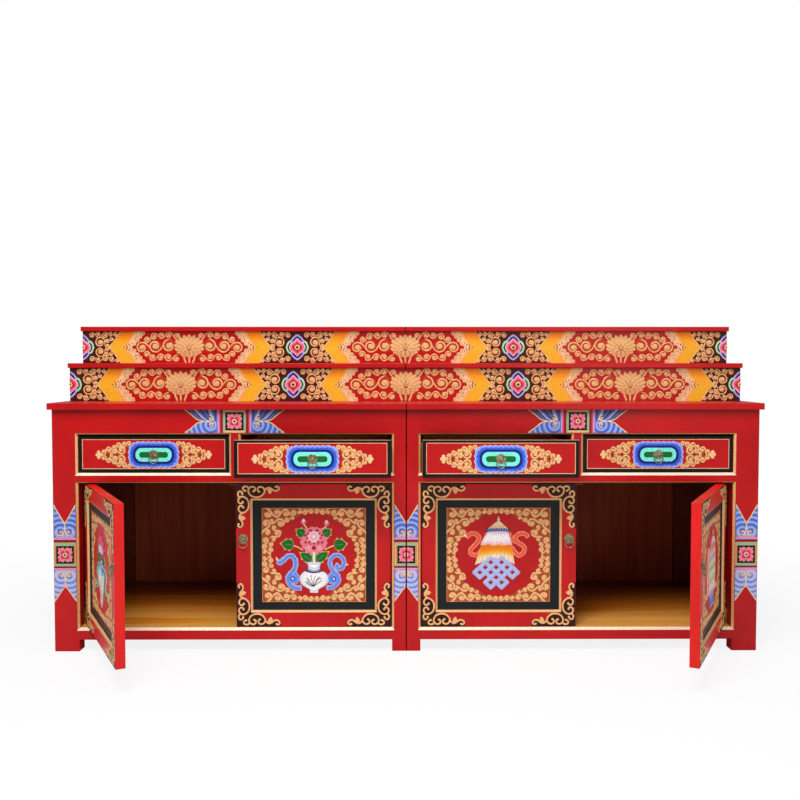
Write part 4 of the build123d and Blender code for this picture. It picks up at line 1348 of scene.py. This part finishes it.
# Where two cabinets meet, or a board ends, the ornament is cut through: group -> planes kept between
cutAt = {"seam": 0.3, "groove": 2.2, "postEdge": 40.0, "boardEnd": 989.7}
cuts = {"left_inner_post": (-cutAt["postEdge"], -cutAt["groove"]),
        "right_inner_post": (cutAt["groove"], cutAt["postEdge"])}
for tier in ("lower", "upper"):
    cuts[f"left_{tier}_riser"] = (-cutAt["boardEnd"], -cutAt["seam"])
    cuts[f"right_{tier}_riser"] = (cutAt["seam"], cutAt["boardEnd"])


def trim(mesh, low, high):
    # what lies beyond two upright planes is cut off, and the cut faces are closed
    shape = bmesh.new()
    shape.from_mesh(mesh)
    for place, direction in ((low, -1), (high, 1)):
        every = shape.verts[:] + shape.edges[:] + shape.faces[:]
        result = bmesh.ops.bisect_plane(shape, geom=every, dist=1e-7, plane_co=(place * mm, 0, 0),
                                        plane_no=(direction, 0, 0), clear_outer=True)
        rims = [item for item in result["geom_cut"] if isinstance(item, bmesh.types.BMEdge)]
        if rims:
            bmesh.ops.holes_fill(shape, edges=rims, sides=0)
    shape.to_mesh(mesh)
    shape.free()


def finishPiece(group, kind, work):
    # one mesh of all the strokes of a kind on a group, with a colour at every point
    name = f"{group}_{kind}"
    points = np.concatenate(work["points"])
    quads, triangles = np.concatenate(work["quads"]), np.concatenate(work["triangles"])
    mesh = bpy.data.meshes.new(name)
    mesh.vertices.add(len(points))
    mesh.vertices.foreach_set("co", points.astype(np.float32).ravel())
    mesh.loops.add(quads.size + triangles.size)
    corners = np.concatenate([quads.ravel(), triangles.ravel()])
    mesh.loops.foreach_set("vertex_index", corners.astype(np.int32))
    starts = np.concatenate([np.arange(len(quads)) * 4, quads.size + np.arange(len(triangles)) * 3])
    mesh.polygons.add(len(starts))
    mesh.polygons.foreach_set("loop_start", starts.astype(np.int32))
    mesh.update(calc_edges=True)
    colour = mesh.attributes.new("paintColour", "FLOAT_COLOR", "POINT")
    shades = np.concatenate([np.concatenate(work["colours"]), np.ones((len(points), 1))], 1)
    colour.data.foreach_set("color", shades.astype(np.float32).ravel())
    mesh.validate()
    if group in cuts:
        trim(mesh, *cuts[group])
    mesh.shade_smooth()
    mesh.set_sharp_from_angle(angle=radians(50))
    piece = bpy.data.objects.new(name, mesh)
    bpy.context.scene.collection.objects.link(piece)
    material, slot = finishes[kind]
    mesh.materials.append(material)
    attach(piece, work["body"])
    return piece


total = 0
for (group, kind), work in works.items():
    piece = finishPiece(group, kind, work)
    faces = sum(len(p.vertices) - 2 for p in piece.data.polygons)
    total += faces
    print(f"{piece.name}: {faces} triangles")
print("painted triangles:", total)


# Studio: a white floor and surround, an overhead front softbox and a low fill
studio = {
    "floorSize": 30.0, "worldLight": 0.31, "floorColour": "#F4F4F4", "shadowReach": (1.2, 2.2),
    "lamps": (
        {"name": "key", "at": (-0.6, -2.1, 3.3), "aim": (0, 0.1, 0.4), "size": 1.6, "watts": 94},
        {"name": "fill", "at": (1.3, -3.4, 1.2), "aim": (0, 0, 0.4), "size": 1.6, "watts": 13},
        {"name": "top", "at": (0.3, -1.0, 3.4), "aim": (0, 0.1, 0.5), "size": 2.2, "watts": 30},
    ),
}


def buildStudio():
    world = bpy.data.worlds.new("studio")
    bpy.context.scene.world = world
    world.use_nodes = True
    tree = world.node_tree
    tree.nodes.clear()
    lit = addNode(tree, "ShaderNodeBackground", {"Color": (1, 1, 1, 1), "Strength": studio["worldLight"]})
    seen = addNode(tree, "ShaderNodeBackground", {"Color": (1, 1, 1, 1), "Strength": 1.0})
    path = addNode(tree, "ShaderNodeLightPath", {})
    both = addNode(tree, "ShaderNodeMixShader", {0: (path, "Is Camera Ray"), 1: (lit, 0), 2: (seen, 0)})
    addNode(tree, "ShaderNodeOutputWorld", {"Surface": (both, 0)})

    # Seamless white paper: to the camera it glows, a little by the object where it keeps the object's
    # soft shadow, and fully further off where it runs into the white surround
    paper, tree = newMaterial("white_backdrop_paper")
    matt = addNode(tree, "ShaderNodeBsdfDiffuse", {"Color": rgba(studio["floorColour"])})
    glow = addNode(tree, "ShaderNodeEmission", {"Color": (1, 1, 1, 1), "Strength": 1.0})
    path = addNode(tree, "ShaderNodeLightPath", {})
    away = addNode(tree, "ShaderNodeVectorMath", {0: placeOn(tree)}, operation="LENGTH")
    near, far = studio["shadowReach"]
    white = addNode(tree, "ShaderNodeMapRange", {"Value": (away, "Value"), "From Min": near, "From Max": far,
                                                 "To Min": 0.86, "To Max": 1.0})
    share = calculate(tree, "MULTIPLY", (path, "Is Camera Ray"), (white, "Result"))
    mixed = addNode(tree, "ShaderNodeMixShader", {0: share, 1: (matt, 0), 2: (glow, 0)})
    addNode(tree, "ShaderNodeOutputMaterial", {"Surface": (mixed, 0)})
    half = studio["floorSize"] / 2
    mesh = bpy.data.meshes.new("studio_floor")
    corners = [(-half, -half, 0), (half, -half, 0), (half, half, 0), (-half, half, 0)]
    mesh.from_pydata(corners, [], [(0, 1, 2, 3)])
    mesh.materials.append(paper)
    floor = bpy.data.objects.new("studio_floor", mesh)
    bpy.context.scene.collection.objects.link(floor)

    for lamp in studio["lamps"]:
        light = bpy.data.lights.new(lamp["name"], "AREA")
        light.shape = "DISK"
        light.size = lamp["size"]
        light.energy = lamp["watts"]
        holder = bpy.data.objects.new(lamp["name"], light)
        holder.location = lamp["at"]
        aim = Vector(lamp["aim"]) - Vector(lamp["at"])
        holder.rotation_euler = aim.to_track_quat("-Z", "Y").to_euler()
        bpy.context.scene.collection.objects.link(holder)


view = {"at": (-0.030, -2.476, 0.8045), "yaw": -0.286, "pitch": 2.213, "lens": 39.93, "sensor": 36.0}


def buildCamera():
    camera = bpy.data.cameras.new("view")
    camera.lens, camera.sensor_width = view["lens"], view["sensor"]
    camera.clip_end = 60
    holder = bpy.data.objects.new("view", camera)
    holder.location = view["at"]
    holder.rotation_euler = (radians(90 - view["pitch"]), 0, radians(view["yaw"]))
    bpy.context.scene.collection.objects.link(holder)
    bpy.context.scene.camera = holder


buildStudio()
buildCamera()
bpy.context.scene.view_settings.view_transform = "Standard"
print("studio and camera ready")
